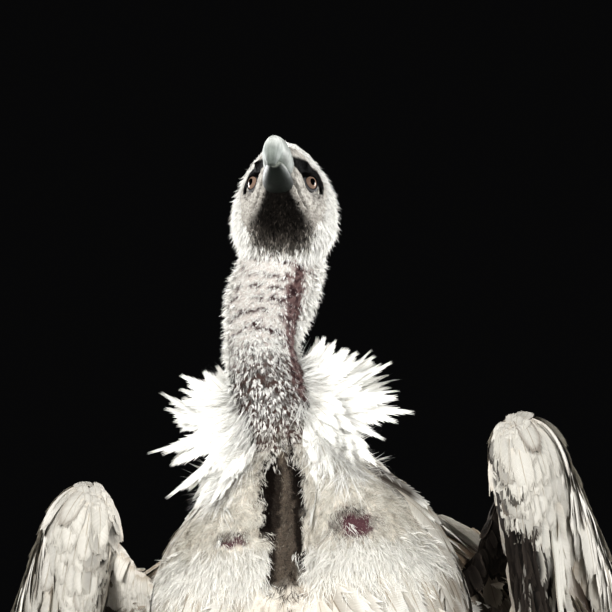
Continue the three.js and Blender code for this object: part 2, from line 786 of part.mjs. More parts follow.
function ruffPart(from, to, side, count) {
  const feathers = ruffFeathers(from, to, side, count);
  return join([ruffRoll(from, to, side), ...feathers.map(vane)]).subtract(SPINE_GROWN);
}

// ---------------------------------------------------------------- tail

function tailFeathers() {
  const base = section(AT.tail).middle;
  const slope = rad(TAIL.slope);
  const along = new THREE.Vector3(0, Math.cos(slope), Math.sin(slope));
  const up = new THREE.Vector3(0, -Math.sin(slope), Math.cos(slope));
  const across = new THREE.Vector3(1, 0, 0);
  const fan = (count, spread, length, width, lift, outline) =>
    row(count, (t) => {
      const place = 2 * t - 1;
      const turn = rad(spread * place);
      const run = along.clone().multiplyScalar(Math.cos(turn)).addScaledVector(across, Math.sin(turn));
      const side = across.clone().multiplyScalar(Math.cos(turn)).addScaledVector(along, -Math.sin(turn));
      const root = base
        .clone()
        .addScaledVector(across, 22 * place)
        .addScaledVector(along, 14)
        .addScaledVector(up, lift - (count - 1) * 0.7 * Math.abs(place));
      return {
        map: (s, y, n) =>
          root.clone().addScaledVector(run, s).addScaledVector(side, y).addScaledVector(up, n - 9e-5 * s * s),
        length: length * (1 - 0.08 * place * place),
        left: width / 2,
        right: width / 2,
        thick: VANE.flight,
        outline,
      };
    });
  return {
    long: fan(TAIL.pairs * 2, TAIL.spread, TAIL.length, TAIL.width, 0, FLIGHT_OUTLINE),
    above: fan(4, 11, 128, 44, 6, COVERT_OUTLINE),
    below: fan(4, 10, 120, 44, -14, COVERT_OUTLINE),
  };
}

function tail() {
  const s = section(AT.tail);
  const made = [];
  const steps = 3;
  for (let r = 0; r <= steps; r++) {
    const t = r / steps;
    const shrink = 1 - 0.62 * t * t;
    const middle = s.middle.clone().addScaledVector(s.along, -GAP / 2 - 44 * t);
    const ring = [];
    for (let i = 0; i < 16; i++) {
      const a = (2 * Math.PI * i) / 16;
      ring.push(
        middle
          .clone()
          .addScaledVector(s.across, s.half * shrink * Math.sin(a))
          .addScaledVector(s.ventral, s.front * shrink * Math.cos(a)),
      );
    }
    made.push(ring);
  }
  const { long, above, below } = tailFeathers();
  return join([loft(made), ...[...long, ...above, ...below].map(vane)]).subtract(SPINE_GROWN);
}

// ---------------------------------------------------------------- legs

// A straight-run tube through points with a radius at each, on rings level with the run.
function tube(points, radii, rings, sides = 12) {
  const made = [];
  const last = points.length - 1;
  const at = (x) => new THREE.Vector3(...[0, 1, 2].map((k) => through(points.map((p) => p[k]), x)));
  for (let r = 0; r <= rings; r++) {
    const x = (r / rings) * last;
    const run = at(Math.min(x + 0.1, last)).sub(at(Math.max(x - 0.1, 0))).normalize();
    const across = new THREE.Vector3(1, 0, 0).addScaledVector(run, -run.x).normalize();
    const other = new THREE.Vector3().crossVectors(run, across);
    const [wide, deep] = throughRows(radii, x);
    const ring = [];
    for (let i = 0; i < sides; i++) {
      const a = (2 * Math.PI * i) / sides;
      const point = at(x).addScaledVector(across, wide * Math.cos(a));
      ring.push(point.addScaledVector(other, deep * Math.sin(a)));
    }
    made.push(ring);
  }
  return loft(made);
}

const mirrored = (side, [x, y, z]) => [side * x, y, z];

// The feathered thigh and shank, from inside the trunk down to the heel.
function thigh(side) {
  const points = [HIP, [66, 60, 270], [72, 82, 192], [74, 100, 150], HEEL].map((p) => mirrored(side, p));
  const radii = [[54, 62], [50, 60], [36, 42], [24, 28], [14, 16]];
  return tube(points, radii, 8, 14).subtract(SPINE_GROWN).subtract(shank(side, 1.5 * GAP));
}

// The bare shank, from the heel to the foot, or the room it takes up when it is grown.
function shank(side, grown = 0) {
  const run = vec(ANKLE).sub(vec(HEEL)).normalize();
  const top = vec(HEEL).addScaledVector(run, GAP - grown);
  const low = vec(ANKLE).addScaledVector(run, grown);
  const points = [0, 0.12, 0.5, 0.88, 1].map((t) => mirrored(side, top.clone().lerp(low, t).toArray()));
  const radii = [[11, 13], [9, 10], [7.6, 8.6], [8.6, 9.6], [10, 11]];
  return tube(points, radii.map((pair) => pair.map((r) => r + grown)), 6, 10);
}

// Where a toe runs: from the foot's middle out along its turn, arched over its joints, down on to its pad.
function toePath(side, { turn, length, radius }) {
  const way = new THREE.Vector3(Math.sin(rad(turn)) * side, -Math.cos(rad(turn)), 0);
  const rise = [3, 2.6, -0.4, 0.6, -1.6]; // of each joint over the plain run
  return [0, 0.3, 0.6, 0.84, 1].map((t, i) =>
    vec(mirrored(side, [ANKLE[0], ANKLE[1], 0]))
      .addScaledVector(way, length * t)
      .add(new THREE.Vector3(0, 0, radius * 0.82 + rise[i]))
      .toArray(),
  );
}

// A slab from the floor down, which levels the soles.
function belowFloor() {
  return closed(new THREE.BoxGeometry(600, 600, 60).translate(0, 0, -30));
}

function foot(side) {
  const toes = TOES.map((toe) => {
    const r = toe.radius;
    const radii = TOE_RADII.map((pair) => pair.map((share) => share * r));
    return tube(toePath(side, toe), radii, 4, 8);
  });
  const ball = ellipsoid(vec(mirrored(side, [ANKLE[0], ANKLE[1], 10])), [14, 16, 13]);
  return join([ball, ...toes]).subtract(belowFloor()).subtract(shank(side, 1.5 * GAP));
}

// A claw grows from the end of its toe and curves down to the floor.
function claw(side, toe) {
  const path = toePath(side, toe).map(vec);
  const end = path[path.length - 1];
  const run = end.clone().sub(path[path.length - 2]).setZ(0).normalize();
  const start = end.clone().addScaledVector(run, GAP);
  const points = [0, 0.35, 0.7, 1].map((t) =>
    start
      .clone()
      .addScaledVector(run, CLAW.length * Math.sin(t * 1.35))
      .add(new THREE.Vector3(0, 0, 1.6 * Math.sin(Math.PI * t) - (end.z - 1.3) * t ** 2.2))
      .toArray(),
  );
  const radii = [[CLAW.radius, CLAW.radius], [3.9, 4.1], [2.5, 2.7], [0.7, 0.7]];
  return tube(points, radii, 4, 6).subtract(belowFloor()).subtract(foot(side));
}

// ---------------------------------------------------------------- the bird

const looks = {
  down: new THREE.MeshStandardMaterial({ color: 0xe9e6dc, roughness: 0.95 }),
  body: new THREE.MeshStandardMaterial({ color: 0xd9d0bf, roughness: 0.9 }),
  wing: new THREE.MeshStandardMaterial({ color: 0xcfc6b6, roughness: 0.85 }),
  tail: new THREE.MeshStandardMaterial({ color: 0x3a322c, roughness: 0.8 }),
  horn: new THREE.MeshStandardMaterial({ color: 0x9aa09e, roughness: 0.4 }),
  eye: new THREE.MeshStandardMaterial({ color: 0x8a6248, roughness: 0.08 }),
  scale: new THREE.MeshStandardMaterial({ color: 0x77777a, roughness: 0.7 }),
  claw: new THREE.MeshStandardMaterial({ color: 0x2c2a29, roughness: 0.4 }),
};

const bird = new THREE.Group();
bird.position.set(-BOX_MIDDLE[0], -BOX_MIDDLE[1], 0);

bird.add(node("head", head(), looks.down));
bird.add(node("bill_upper", upperBill().subtract(nostril(1)).subtract(nostril(-1)), looks.horn));
bird.add(node("bill_lower", lowerBill(), looks.horn));
bird.add(node("eye_left", eyeBall(1, 0), looks.eye));
bird.add(node("eye_right", eyeBall(-1, 0), looks.eye));

bird.add(node("neck_upper", stretch(stations(AT.neckUpper, AT.head, 4)), looks.down));
bird.add(node("neck_middle", stretch(stations(AT.neckMiddle, AT.neckUpper, 4)), looks.down));
bird.add(node("neck_lower", stretch(NECK_LOW), looks.down));
bird.add(node("torso", stretch(TRUNK), looks.body));

const RUFF_SEAM = 128; // degrees round from the front, where the side ruffs end and the back one starts
const pastLeft = roundFrom(RUFF_SEAM, 1);
const pastRight = roundFrom(-RUFF_SEAM, -1);
const ahead = join([roundFrom(RUFF_SEAM, -1), roundFrom(-RUFF_SEAM, 1)]);
bird.add(node("ruff_left", ruffPart(RUFF.open, RUFF_SEAM + 3, 1, 7).subtract(pastLeft), looks.down));
bird.add(node("ruff_right", ruffPart(RUFF.open, RUFF_SEAM + 3, -1, 7).subtract(pastRight), looks.down));
bird.add(node("ruff_back", ruffPart(RUFF_SEAM - 3, 363 - RUFF_SEAM, 1, 7).subtract(ahead), looks.down));

for (const spec of WINGS) {
  bird.add(node(spec.name, wing(spec), looks.wing));
}
bird.add(node("tail", tail(), looks.tail));

for (const [name, side] of [["left", 1], ["right", -1]]) {
  bird.add(node(`thigh_${name}`, thigh(side), looks.body));
  bird.add(node(`tarsus_${name}`, shank(side), looks.scale));
  bird.add(node(`foot_${name}`, foot(side), looks.scale));
  for (const toe of TOES) {
    bird.add(node(`claw_${name}_${toe.name}`, claw(side, toe), looks.claw));
  }
}

export default bird;
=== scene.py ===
"""Looks of a life-size griffon vulture, with its neck raised, its ruff lifted and both wings half open.

Shapes are worked out in millimetres in the bird's own frame: it faces -Y, its own left side is +X, and the
floor is z = 0. to_row() turns that into the row frame in metres.
"""

import math

import bpy
import bmesh
import numpy as np
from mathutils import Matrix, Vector
from mathutils.kdtree import KDTree


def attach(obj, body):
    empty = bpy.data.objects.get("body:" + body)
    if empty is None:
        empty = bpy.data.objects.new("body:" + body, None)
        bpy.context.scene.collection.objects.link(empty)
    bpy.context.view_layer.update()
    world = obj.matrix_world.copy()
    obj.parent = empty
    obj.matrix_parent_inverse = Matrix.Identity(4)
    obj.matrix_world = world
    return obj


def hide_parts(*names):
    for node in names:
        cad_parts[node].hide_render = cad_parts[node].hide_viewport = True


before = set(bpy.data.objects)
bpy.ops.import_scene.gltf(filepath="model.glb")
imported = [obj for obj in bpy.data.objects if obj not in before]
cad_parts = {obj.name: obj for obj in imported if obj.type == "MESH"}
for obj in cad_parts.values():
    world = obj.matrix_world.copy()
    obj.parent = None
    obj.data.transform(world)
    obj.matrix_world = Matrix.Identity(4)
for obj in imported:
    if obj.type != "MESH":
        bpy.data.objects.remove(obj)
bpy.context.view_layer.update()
ROOT = "root"
SIDES = {"left": 1, "right": -1}
X_AXIS, Z_AXIS = np.array([1.0, 0, 0]), np.array([0, 0, 1.0])

# ---------------------------------------------------------------- dimensions, as in the part's source

SHIFT = np.array([49.5, -102.0, 0.0])  # from the bird's own frame to the row frame, mm
SPINE = np.array([  # x, y, z, half width, depth in front and behind
    [0, 204, 214, 34, 20, 20], [0, 166, 246, 62, 44, 38], [0, 126, 286, 92, 70, 58],
    [0, 86, 336, 114, 92, 76], [0, 50, 390, 127, 104, 86], [0, 18, 442, 133, 108, 92],
    [0, -8, 492, 134, 106, 95], [-1, -27, 540, 129, 96, 92], [-3, -42, 582, 110, 78, 80],
    [-6, -54, 614, 78, 58, 62], [-10, -64, 641, 47, 41, 44], [-18, -74, 668, 37, 34, 36],
    [-25, -82, 698, 34, 32, 33], [-28, -84, 730, 33, 31, 33], [-24, -80, 764, 38, 32, 36],
    [-15, -81, 798, 37, 34, 34], [-11, -91, 827, 34, 30, 27], [-9, -102, 850, 24, 22, 20],
], float)
CROP = dict(start=6.6, end=10.2, half=14, depth=19, keel=9, lobe_angle=36, lobe=9)
HEAD_AT = np.array([-6.0, -130.0, 849.0])
HEAD_YAW, HEAD_ROLL = 4.2, 2.1
HEAD = np.array([  # forward, half width, top, bottom, level of greatest width
    [-68, 6, 10, -10, 0], [-62, 24, 23, -30, -4], [-47, 39, 35, -50, -14], [-28, 45, 41, -59, -20],
    [-10, 39.5, 43, -57, -19], [5, 29.5, 39.5, -48, -14], [18, 22.5, 31, -39, -9],
    [29, 17.5, 21, -32, -7], [40, 13.4, 13.5, -28, -6],
], float)
UPPER_BILL = np.array([  # forward, up, half height, half width
    [34, -1.5, 14.2, 12.4], [40, -1.5, 14.6, 12.8], [54, -1, 14.6, 12], [66, -2.8, 12.2, 10.4],
    [75, -8, 9.2, 9], [80, -15.5, 6.6, 7.4], [82, -23.5, 4.2, 5], [81.8, -31, 1.3, 1.6],
], float)
LOWER_BILL = np.array([  # forward, half width, top, bottom
    [34, 12, -16.8, -27.2], [40, 12.0, -16.8, -27.8], [51, 11, -16.9, -28.6], [61, 8.8, -16.6, -27],
    [70, 5.4, -17, -24.4], [74, 2, -18.6, -22],
], float)
NOSTRIL = dict(forward=50, up=2.5, height=8.5, width=2.6)
EYE = dict(radius=10, side=18.5, forward=4, up=0, opening=7.2)
GAZE = dict(forward=0.85, down=0.16)
ELBOW, FINGER = np.array([236.0, 116.0]), np.array([49.0, 183.0])
CUP_BACK, CUP_DOWN = 1.2e-4, 5e-5
WINGS = {"left": (1, np.array([177.0, -36, 646]), 16.0), "right": (-1, np.array([-190.0, -8, 616]), 29.0)}
SHOULDER = np.array([100.0, -4, 562])
FLIGHT_HEIGHT = (-9, 2, 12)
RUFF = dict(station=10.2, open=42, length=80)
TAIL = dict(count=12, length=262, width=46, spread=13, slope=-37)
HIP, HEEL, ANKLE = (60, 66, 352), (74, 108, 124), (76, 66, 20)
TOES = {"inner": (-30, 56, 8.6), "middle": (0, 88, 8.8), "outer": (30, 66, 8), "hind": (180, 36, 9)}
CLAW_LENGTH = 27

COAT_FACES = 190_000  # most triangles in one piece of the coat
PATCH = 0.003  # width of a tuft's patch on the coat's map
VOXEL = 3.54  # mesh size of the skin, mm
SHARE = 1.0  # share of the down that is made

# ---------------------------------------------------------------- numbers and points


def dice(seed):
    return np.random.default_rng(seed)


def unit(v):
    return v / np.maximum(np.linalg.norm(v, axis=-1, keepdims=True), 1e-9)


def dot(a, b):
    return (a * b).sum(-1, keepdims=True)


def mix(a, b, t):
    return a + (b - a) * t


def smooth(low, high, x):
    t = np.clip((np.asarray(x, float) - low) / (high - low), 0, 1)
    return t * t * (3 - 2 * t)


def bell(x, width):
    return np.exp(-((x / width) ** 2))


def square(v, to):
    """The way of v, turned square to another way."""
    return unit(v - to * dot(v, to))


def outward(normal, away):
    return np.where(dot(normal, away) < 0, -normal, normal)


def circle(sides):
    return np.linspace(0, 2 * math.pi, sides, endpoint=False)


def mirrored(points, side):
    return np.array(points, float) * [side, 1, 1]


def halves(quads):
    return np.concatenate([quads[:, [0, 1, 2]], quads[:, [0, 2, 3]]])


def tree_of(points):
    made = KDTree(len(points))
    for i, point in enumerate(points):
        made.insert(point, i)
    made.balance()
    return made


def to_row(points):
    return (np.asarray(points, float) + SHIFT) * 0.001


def through(table, x):
    """Values at stations x on smooth curves through the evenly spaced rows of a table."""
    table, x = np.asarray(table, float), np.asarray(x, float)
    last = len(table) - 1
    i = np.clip(np.floor(x).astype(int), 0, last - 1)
    f = x - i if table.ndim == 1 else (x - i)[..., None]
    a, b, c, d = (table[np.clip(i + k, 0, last)] for k in (-1, 0, 1, 2))
    return b + 0.5 * f * (c - a + f * (2 * a - 5 * b + 4 * c - d + f * (3 * (b - c) + d - a)))


def heading(table, x, step=0.1):
    """The way a curve through a table runs at stations x."""
    return through(table, np.minimum(x + step, len(table) - 1)) - through(table, np.maximum(x - step, 0))


def rough(points, size, seed=0):
    """Smooth noise between about -1 and 1 at points, with features of a size in mm."""
    rng = dice(seed)
    total = np.zeros(points.shape[:-1])
    for _ in range(7):
        way = unit(rng.normal(size=3)) * rng.uniform(0.7, 1.5) * 2 * math.pi / size
        bend = unit(rng.normal(size=3)) * 2 * math.pi / size * 0.6
        start = rng.uniform(0, 6.3)
        total += np.sin(points @ way + start + 1.3 * np.sin(points @ bend + rng.uniform(0, 6.3)))
    return total / 3.0


def off_front(angle):
    """Degrees round from the front, towards the bird's left above 0 and towards its right below."""
    return (np.asarray(angle) + 180) % 360 - 180


# ---------------------------------------------------------------- trunk, neck and head as surfaces


def section(x):
    """The spine's row at station x, its way along and across, and the way to the belly."""
    x = np.asarray(x, float)
    along = unit(heading(SPINE, x, 0.05)[..., :3])
    across = unit(X_AXIS - along * along[..., :1])
    return through(SPINE, x), along, across, np.cross(across, along)


def relief(x, angle):
    off = np.abs(off_front(angle))
    share = np.clip((x - CROP["start"]) / 0.9, 0, 1) * np.clip((CROP["end"] - x) / 0.9, 0, 1)
    hollow = -CROP["depth"] * bell(off, CROP["half"]) + CROP["keel"] * bell(off, CROP["half"] * 0.3)
    return share * (hollow + CROP["lobe"] * bell(off - CROP["lobe_angle"], 20))


def body_point(x, angle, out=0.0):
    """A point on the trunk or neck, at an angle in degrees from the front towards the bird's left."""
    x, angle = np.broadcast_arrays(np.asarray(x, float), np.asarray(angle, float))
    row, _, across, ventral = section(x)
    s, c = np.sin(np.radians(angle)), np.cos(np.radians(angle))
    grown = out + relief(x, angle)
    depth = np.where(c > 0, row[..., 4], row[..., 5]) + grown
    return row[..., :3] + across * ((row[..., 3] + grown) * s)[..., None] + ventral * (depth * c)[..., None]


def surface_frame(point, u, v, du, dv):
    """Point, outward normal and the two tangents of a surface given by a function of u and v."""
    p = point(u, v)
    tu = unit(point(u + du, v) - point(u - du, v))
    tv = unit(point(u, v + dv) - point(u, v - dv))
    return p, unit(np.cross(tv, tu)), tu, tv


def turn_z(degrees):
    a = math.radians(degrees)
    return np.array([[math.cos(a), -math.sin(a), 0], [math.sin(a), math.cos(a), 0], [0, 0, 1]])


def turn_y(degrees):
    a = math.radians(degrees)
    return np.array([[math.cos(a), 0, math.sin(a)], [0, 1, 0], [-math.sin(a), 0, math.cos(a)]])


HEAD_TURN = turn_z(HEAD_YAW) @ turn_y(HEAD_ROLL)


def on_head(forward, left, up):
    forward, left, up = np.broadcast_arrays(*(np.asarray(a, float) for a in (forward, left, up)))
    return np.stack([left, -forward, up], -1) @ HEAD_TURN.T + HEAD_AT


def head_way(forward, left, up):
    return unit(np.array([left, -forward, up], float)) @ HEAD_TURN.T


def in_head(points):
    """Forward, left and up of points on the head."""
    local = (points - HEAD_AT) @ HEAD_TURN
    return -local[..., 1], local[..., 0], local[..., 2]


def gaze(side):
    return head_way(GAZE["forward"], side, -GAZE["down"])


def eye_middle(side):
    return on_head(EYE["forward"], side * EYE["side"], EYE["up"])


# ---------------------------------------------------------------- meshes


def link(name, data):
    made = bpy.data.objects.new(name, data)
    bpy.context.scene.collection.objects.link(made)
    return made


def mesh_object(name, points, faces, material, slot=None, replaces=(), tone=None, grain=None, uv=None):
    """A mesh of points in the bird's frame, which rides on the root unless it has no slot."""
    mesh = bpy.data.meshes.new(name)
    mesh.vertices.add(len(points))
    mesh.vertices.foreach_set("co", to_row(points).astype(np.float32).ravel())
    corners = faces.astype(np.int32).ravel()
    count, sides = faces.shape
    mesh.loops.add(len(corners))
    mesh.loops.foreach_set("vertex_index", corners)
    mesh.polygons.add(count)
    mesh.polygons.foreach_set("loop_start", np.arange(count, dtype=np.int32) * sides)
    mesh.polygons.foreach_set("use_smooth", np.ones(count, bool))
    mesh.update(calc_edges=True)
    if tone is not None:
        colour = np.concatenate([np.clip(tone, 0, 1), np.ones((len(points), 1))], 1).astype(np.float32)
        mesh.attributes.new("tone", "FLOAT_COLOR", "POINT").data.foreach_set("color", colour.ravel())
    if grain is not None:
        layer = mesh.attributes.new("grain", "FLOAT_VECTOR", "POINT")
        layer.data.foreach_set("vector", grain.astype(np.float32).ravel())
    if uv is not None:
        layer = mesh.uv_layers.new(name="OFBake", do_init=False)
        layer.uv.foreach_set("vector", uv[corners].astype(np.float32).ravel())
    mesh.materials.append(material)
    piece = link(name, mesh)
    if slot:
        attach(piece, ROOT)
    if replaces:
        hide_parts(*replaces)
    return piece


def ring_quads(count, sides):
    i, j = np.meshgrid(np.arange(count - 1), np.arange(sides), indexing="ij")
    a, b = i * sides + j, i * sides + (j + 1) % sides
    return np.stack([a, b, b + sides, a + sides], -1).reshape(-1, 4)


def loft(rings):
    """Points and triangles of a closed solid from an array of rings, facing out."""
    rings = np.asarray(rings, float)
    count, sides = rings.shape[:2]
    fan = np.arange(1, sides - 1)
    zero = np.zeros_like(fan)
    top = (count - 1) * sides
    faces = np.concatenate([
        halves(ring_quads(count, sides)),
        np.stack([zero, fan + 1, fan], -1), np.stack([zero + top, fan + top, fan + 1 + top], -1),
    ])
    points = rings.reshape(-1, 3)
    volume = dot(points[faces[:, 0]], np.cross(points[faces[:, 1]], points[faces[:, 2]])).sum()
    return points, (faces[:, ::-1] if volume < 0 else faces)


def joined(parts):
    points, faces, at = [], [], 0
    for p, f in parts:
        points.append(p)
        faces.append(f + at)
        at += len(p)
    return np.concatenate(points), np.concatenate(faces)


def sweep(points, radii, rings, sides, shape=None):
    """Rings of a tube through points, with a radius across and one deep at each."""
    points, radii = np.asarray(points, float), np.asarray(radii, float)
    last = len(points) - 1
    x = np.linspace(0, last, rings + 1)
    run = unit(heading(points, x))
    across = unit(X_AXIS - run * run[:, :1])
    other = np.cross(run, across)
    turn = circle(sides)
    wide, deep = through(radii, x).T
    grow = np.ones((rings + 1, sides)) if shape is None else shape(x[:, None] / last, turn[None])
    cos, sin = np.cos(turn)[None] * grow * wide[:, None], np.sin(turn)[None] * grow * deep[:, None]
    return through(points, x)[:, None] + across[:, None] * cos[..., None] + other[:, None] * sin[..., None]


def remeshed(points, faces, voxel, passes):
    """One closed skin round several closed solids that overlap."""
    piece = mesh_object("making", points, faces, bpy.data.materials.new("none"))
    remesh = piece.modifiers.new("one", "REMESH")
    remesh.mode = "VOXEL"
    remesh.voxel_size = voxel * 0.001
    remesh.use_smooth_shade = True
    soften = piece.modifiers.new("soft", "SMOOTH")
    soften.factor, soften.iterations = 0.5, passes
    evaluated = piece.evaluated_get(bpy.context.evaluated_depsgraph_get())
    made = bpy.data.meshes.new_from_object(evaluated)
    bpy.data.objects.remove(piece)
    return made


def arrays_of(mesh):
    """Points in the bird's frame, in mm, and triangles."""
    mesh.calc_loop_triangles()
    co = np.empty(len(mesh.vertices) * 3, np.float32)
    mesh.vertices.foreach_get("co", co)
    tris = np.empty(len(mesh.loop_triangles) * 3, np.int32)
    mesh.loop_triangles.foreach_get("vertices", tris)
    return co.reshape(-1, 3).astype(float) * 1000 - SHIFT, tris.reshape(-1, 3)


def normals_of(points, tris):
    n = np.cross(points[tris[:, 1]] - points[tris[:, 0]], points[tris[:, 2]] - points[tris[:, 0]])
    total = np.zeros_like(points)
    for k in range(3):
        np.add.at(total, tris[:, k], n)
    return unit(total)


# ---------------------------------------------------------------- materials


class Paint:
    """A node material built line by line."""

    def __init__(self, name, **fixed):
        self.material = bpy.data.materials.new(name)
        self.material.use_nodes = True
        self.tree = self.material.node_tree
        self.shader = self.tree.nodes["Principled BSDF"]
        for key, value in fixed.items():
            self.shader.inputs[key.replace("_", " ")].default_value = value

    def node(self, kind, inputs=None, **settings):
        made = self.tree.nodes.new("ShaderNode" + kind)
        for key, value in settings.items():
            setattr(made, key, value)
        for key, value in (inputs or {}).items():
            if hasattr(value, "is_output"):
                self.tree.links.new(value, made.inputs[key])
            else:
                made.inputs[key].default_value = value
        return made

    def attribute(self, name, output):
        return self.node("Attribute", attribute_name=name).outputs[output]

    def math(self, operation, a, b=0.0, c=0.0):
        return self.node("Math", {0: a, 1: b, 2: c}, operation=operation).outputs[0]

    def noise(self, scale, detail=3.0, rough_share=0.55, vector=None):
        inputs = {"Scale": scale, "Detail": detail, "Roughness": rough_share}
        inputs["Vector"] = vector or self.place()
        return self.node("TexNoise", inputs).outputs["Fac"]

    def place(self):
        return self.node("TexCoord").outputs["Object"]

    def blend(self, share, a, b, mode="MIX"):
        made = self.node("Mix", data_type="RGBA", blend_type=mode)
        for key, value in ((0, share), (6, a), (7, b)):
            if hasattr(value, "is_output"):
                self.tree.links.new(value, made.inputs[key])
            else:
                made.inputs[key].default_value = (*value, 1) if key else value
        return made.outputs[2]

    def times(self, a, b):
        return self.blend(1.0, a, b, "MULTIPLY")

    def grey(self, shade):
        return self.node("CombineColor", {0: shade, 1: shade, 2: shade}).outputs[0]

    def spread(self, value, low, high):
        """A value from 0 to 1 spread between two others."""
        return self.math("MULTIPLY_ADD", value, high - low, low)

    def cells(self, scale, most):
        """How far a place is from the nearest edge of a pattern of cells."""
        inputs = {"Vector": self.place(), "Scale": scale}
        away = self.node("TexVoronoi", inputs, feature="DISTANCE_TO_EDGE").outputs[0]
        return self.math("MINIMUM", away, most)

    def ramp(self, value, stops):
        made = self.node("ValToRGB", {0: value})
        elements = made.color_ramp.elements
        while len(elements) < len(stops):
            elements.new(0.5)
        for element, (at, colour) in zip(elements, stops):
            element.position = at
            element.color = (*colour, 1)
        return made.outputs[0]

    def wire(self, **links):
        for key, value in links.items():
            self.tree.links.new(value, self.shader.inputs[key.replace("_", " ")])
        return self

    def bump(self, height, distance, strength=1.0):
        made = self.node("Bump", {"Height": height, "Distance": distance, "Strength": strength})
        return self.wire(Normal=made.outputs[0])


def skin_paint():
    p = Paint("skin", Specular_IOR_Level=0.02)
    fine, coarse = p.noise(900, 4), p.noise(140, 3)
    colour = p.times(p.attribute("tone", "Color"), p.blend(coarse, (0.82, 0.8, 0.8), (1.1, 1.06, 1.04)))
    shade = p.math("MULTIPLY_ADD", fine, 0.5, 0.75)
    p.wire(Base_Color=p.times(colour, p.grey(shade)), Roughness=p.spread(coarse, 0.5, 0.75))
    height = p.math("MULTIPLY_ADD", p.cells(520.0, 0.2), 2.0, p.math("MULTIPLY", coarse, 0.8))
    p.bump(height, 0.0009, 0.9)
    return p.material


def down_paint():
    p = Paint("down", Specular_IOR_Level=0.05)
    patches = p.blend(p.noise(160, 3), (0.9, 0.89, 0.87), (1.05, 1.05, 1.05))
    colour = p.times(p.attribute("tone", "Color"), patches)
    p.wire(Base_Color=colour, Roughness=p.spread(p.noise(600), 0.8, 1.0))
    return p.material


def vane_paint(name, roughness, shaft, barb_depth):
    """Feather vanes. Grain holds the shares of the length and of the half width, and the length in mm."""
    p = Paint(name, Specular_IOR_Level=0.1)
    tone = p.attribute("tone", "Color")
    share, side, size = p.node("SeparateXYZ", {0: p.attribute("grain", "Vector")}).outputs
    wide = p.math("ABSOLUTE", side)
    run = p.math("MULTIPLY", share, size)
    barbs = p.math("SINE", p.math("MULTIPLY", p.math("MULTIPLY_ADD", wide, -9.0, run), 4.2))
    place = p.node("CombineXYZ", {0: p.math("MULTIPLY_ADD", wide, -5.0, run), 1: size}).outputs[0]
    streak = p.noise(1.0, 2, 0.5, place)
    shade = p.math("MULTIPLY_ADD", barbs, 0.05, p.math("MULTIPLY_ADD", streak, 0.34, 0.8))
    colour = p.times(tone, p.grey(shade))
    quill = p.math("LESS_THAN", wide, SHAFT_SHARE)
    colour = p.blend(p.math("MULTIPLY", quill, 0.75), colour, p.times(tone, shaft))
    p.wire(Base_Color=colour, Roughness=p.spread(streak, roughness - 0.1, roughness + 0.1))
    p.bump(p.math("MULTIPLY_ADD", barbs, 0.5, p.math("MULTIPLY", streak, 1.5)), 0.0003, barb_depth)
    return p.material


def horn_paint(name, low, middle, high, roughness, shine=0.22):
    """Streaked horn, with streaks along the grain."""
    p = Paint(name, Specular_IOR_Level=shine)
    lines = p.noise(1.0, 4, 0.6, p.attribute("grain", "Vector"))
    speck = p.noise(420, 4)
    colour = p.times(p.attribute("tone", "Color"), p.ramp(lines, [(0.25, low), (0.5, middle), (0.75, high)]))
    colour = p.times(colour, p.blend(speck, (0.8, 0.8, 0.8), (1.15, 1.15, 1.15)))
    p.wire(Base_Color=colour, Roughness=p.spread(speck, roughness - 0.1, roughness + 0.15))
    p.bump(p.math("MULTIPLY_ADD", lines, 0.8, p.math("MULTIPLY", speck, 0.5)), 0.0004, 0.6)
    return p.material


def eye_paint():
    """grain.x is the angle from the gaze, in degrees, and grain.y the turn round it."""
    p = Paint("eye", Roughness=0.12, Specular_IOR_Level=0.03)
    angle, turn, _ = p.node("SeparateXYZ", {0: p.attribute("grain", "Vector")}).outputs
    place = p.node("CombineXYZ", {0: p.math("MULTIPLY", turn, 16.0), 1: p.math("MULTIPLY", angle, 0.06)})
    iris = p.blend(p.noise(1.0, 3, 0.6, place.outputs[0]), (0.08, 0.045, 0.033), (0.36, 0.26, 0.20))
    rings = [(0.0, 0), (0.262, 0), (0.285, 1), (0.58, 1), (0.66, 0.25), (0.72, 0.02)]  # pupil, iris, dark rim
    ring = p.ramp(p.math("DIVIDE", angle, 60.0), [(at, (light,) * 3) for at, light in rings])
    p.wire(Base_Color=p.times(iris, ring))
    return p.material


def scale_paint():
    p = Paint("scales", Specular_IOR_Level=0.4)
    plate = p.cells(260.0, 0.18)
    dust = p.noise(300, 4)
    plates = p.blend(p.math("MULTIPLY", plate, 5.5), (0.5, 0.47, 0.44), (1.08, 1.08, 1.1))
    colour = p.times(p.attribute("tone", "Color"), plates)
    colour = p.blend(p.math("MULTIPLY", dust, 0.35), colour, (0.42, 0.4, 0.38))
    p.wire(Base_Color=colour, Roughness=p.spread(dust, 0.45, 0.75))
    p.bump(p.math("MULTIPLY_ADD", plate, 4.0, dust), 0.0008, 0.8)
    return p.material


SHAFT_SHARE = 0.04  # of a vane's half width
DOWN = down_paint()
SKIN = skin_paint()
BODY = vane_paint("body_feather", 0.8, (0.56, 0.50, 0.42), 0.5)
FLIGHT = vane_paint("flight_feather", 0.65, (0.5, 0.45, 0.4), 0.7)
HORN = horn_paint("bill_horn", (0.66, 0.66, 0.64), (1.04, 1.04, 1.02), (1.26, 1.25, 1.22), 0.55, 0.13)
DARK_HORN = horn_paint("bill_horn_lower", (0.32,) * 3, (0.62, 0.65, 0.61), (1.05, 1.08, 1.0), 0.45, 0.13)
CLAW = horn_paint("claw_horn", (0.5, 0.48, 0.45), (0.9, 0.9, 0.9), (1.2, 1.15, 1.1), 0.35)
SCALES = scale_paint()
EYES = eye_paint()

# ---------------------------------------------------------------- wings as surfaces


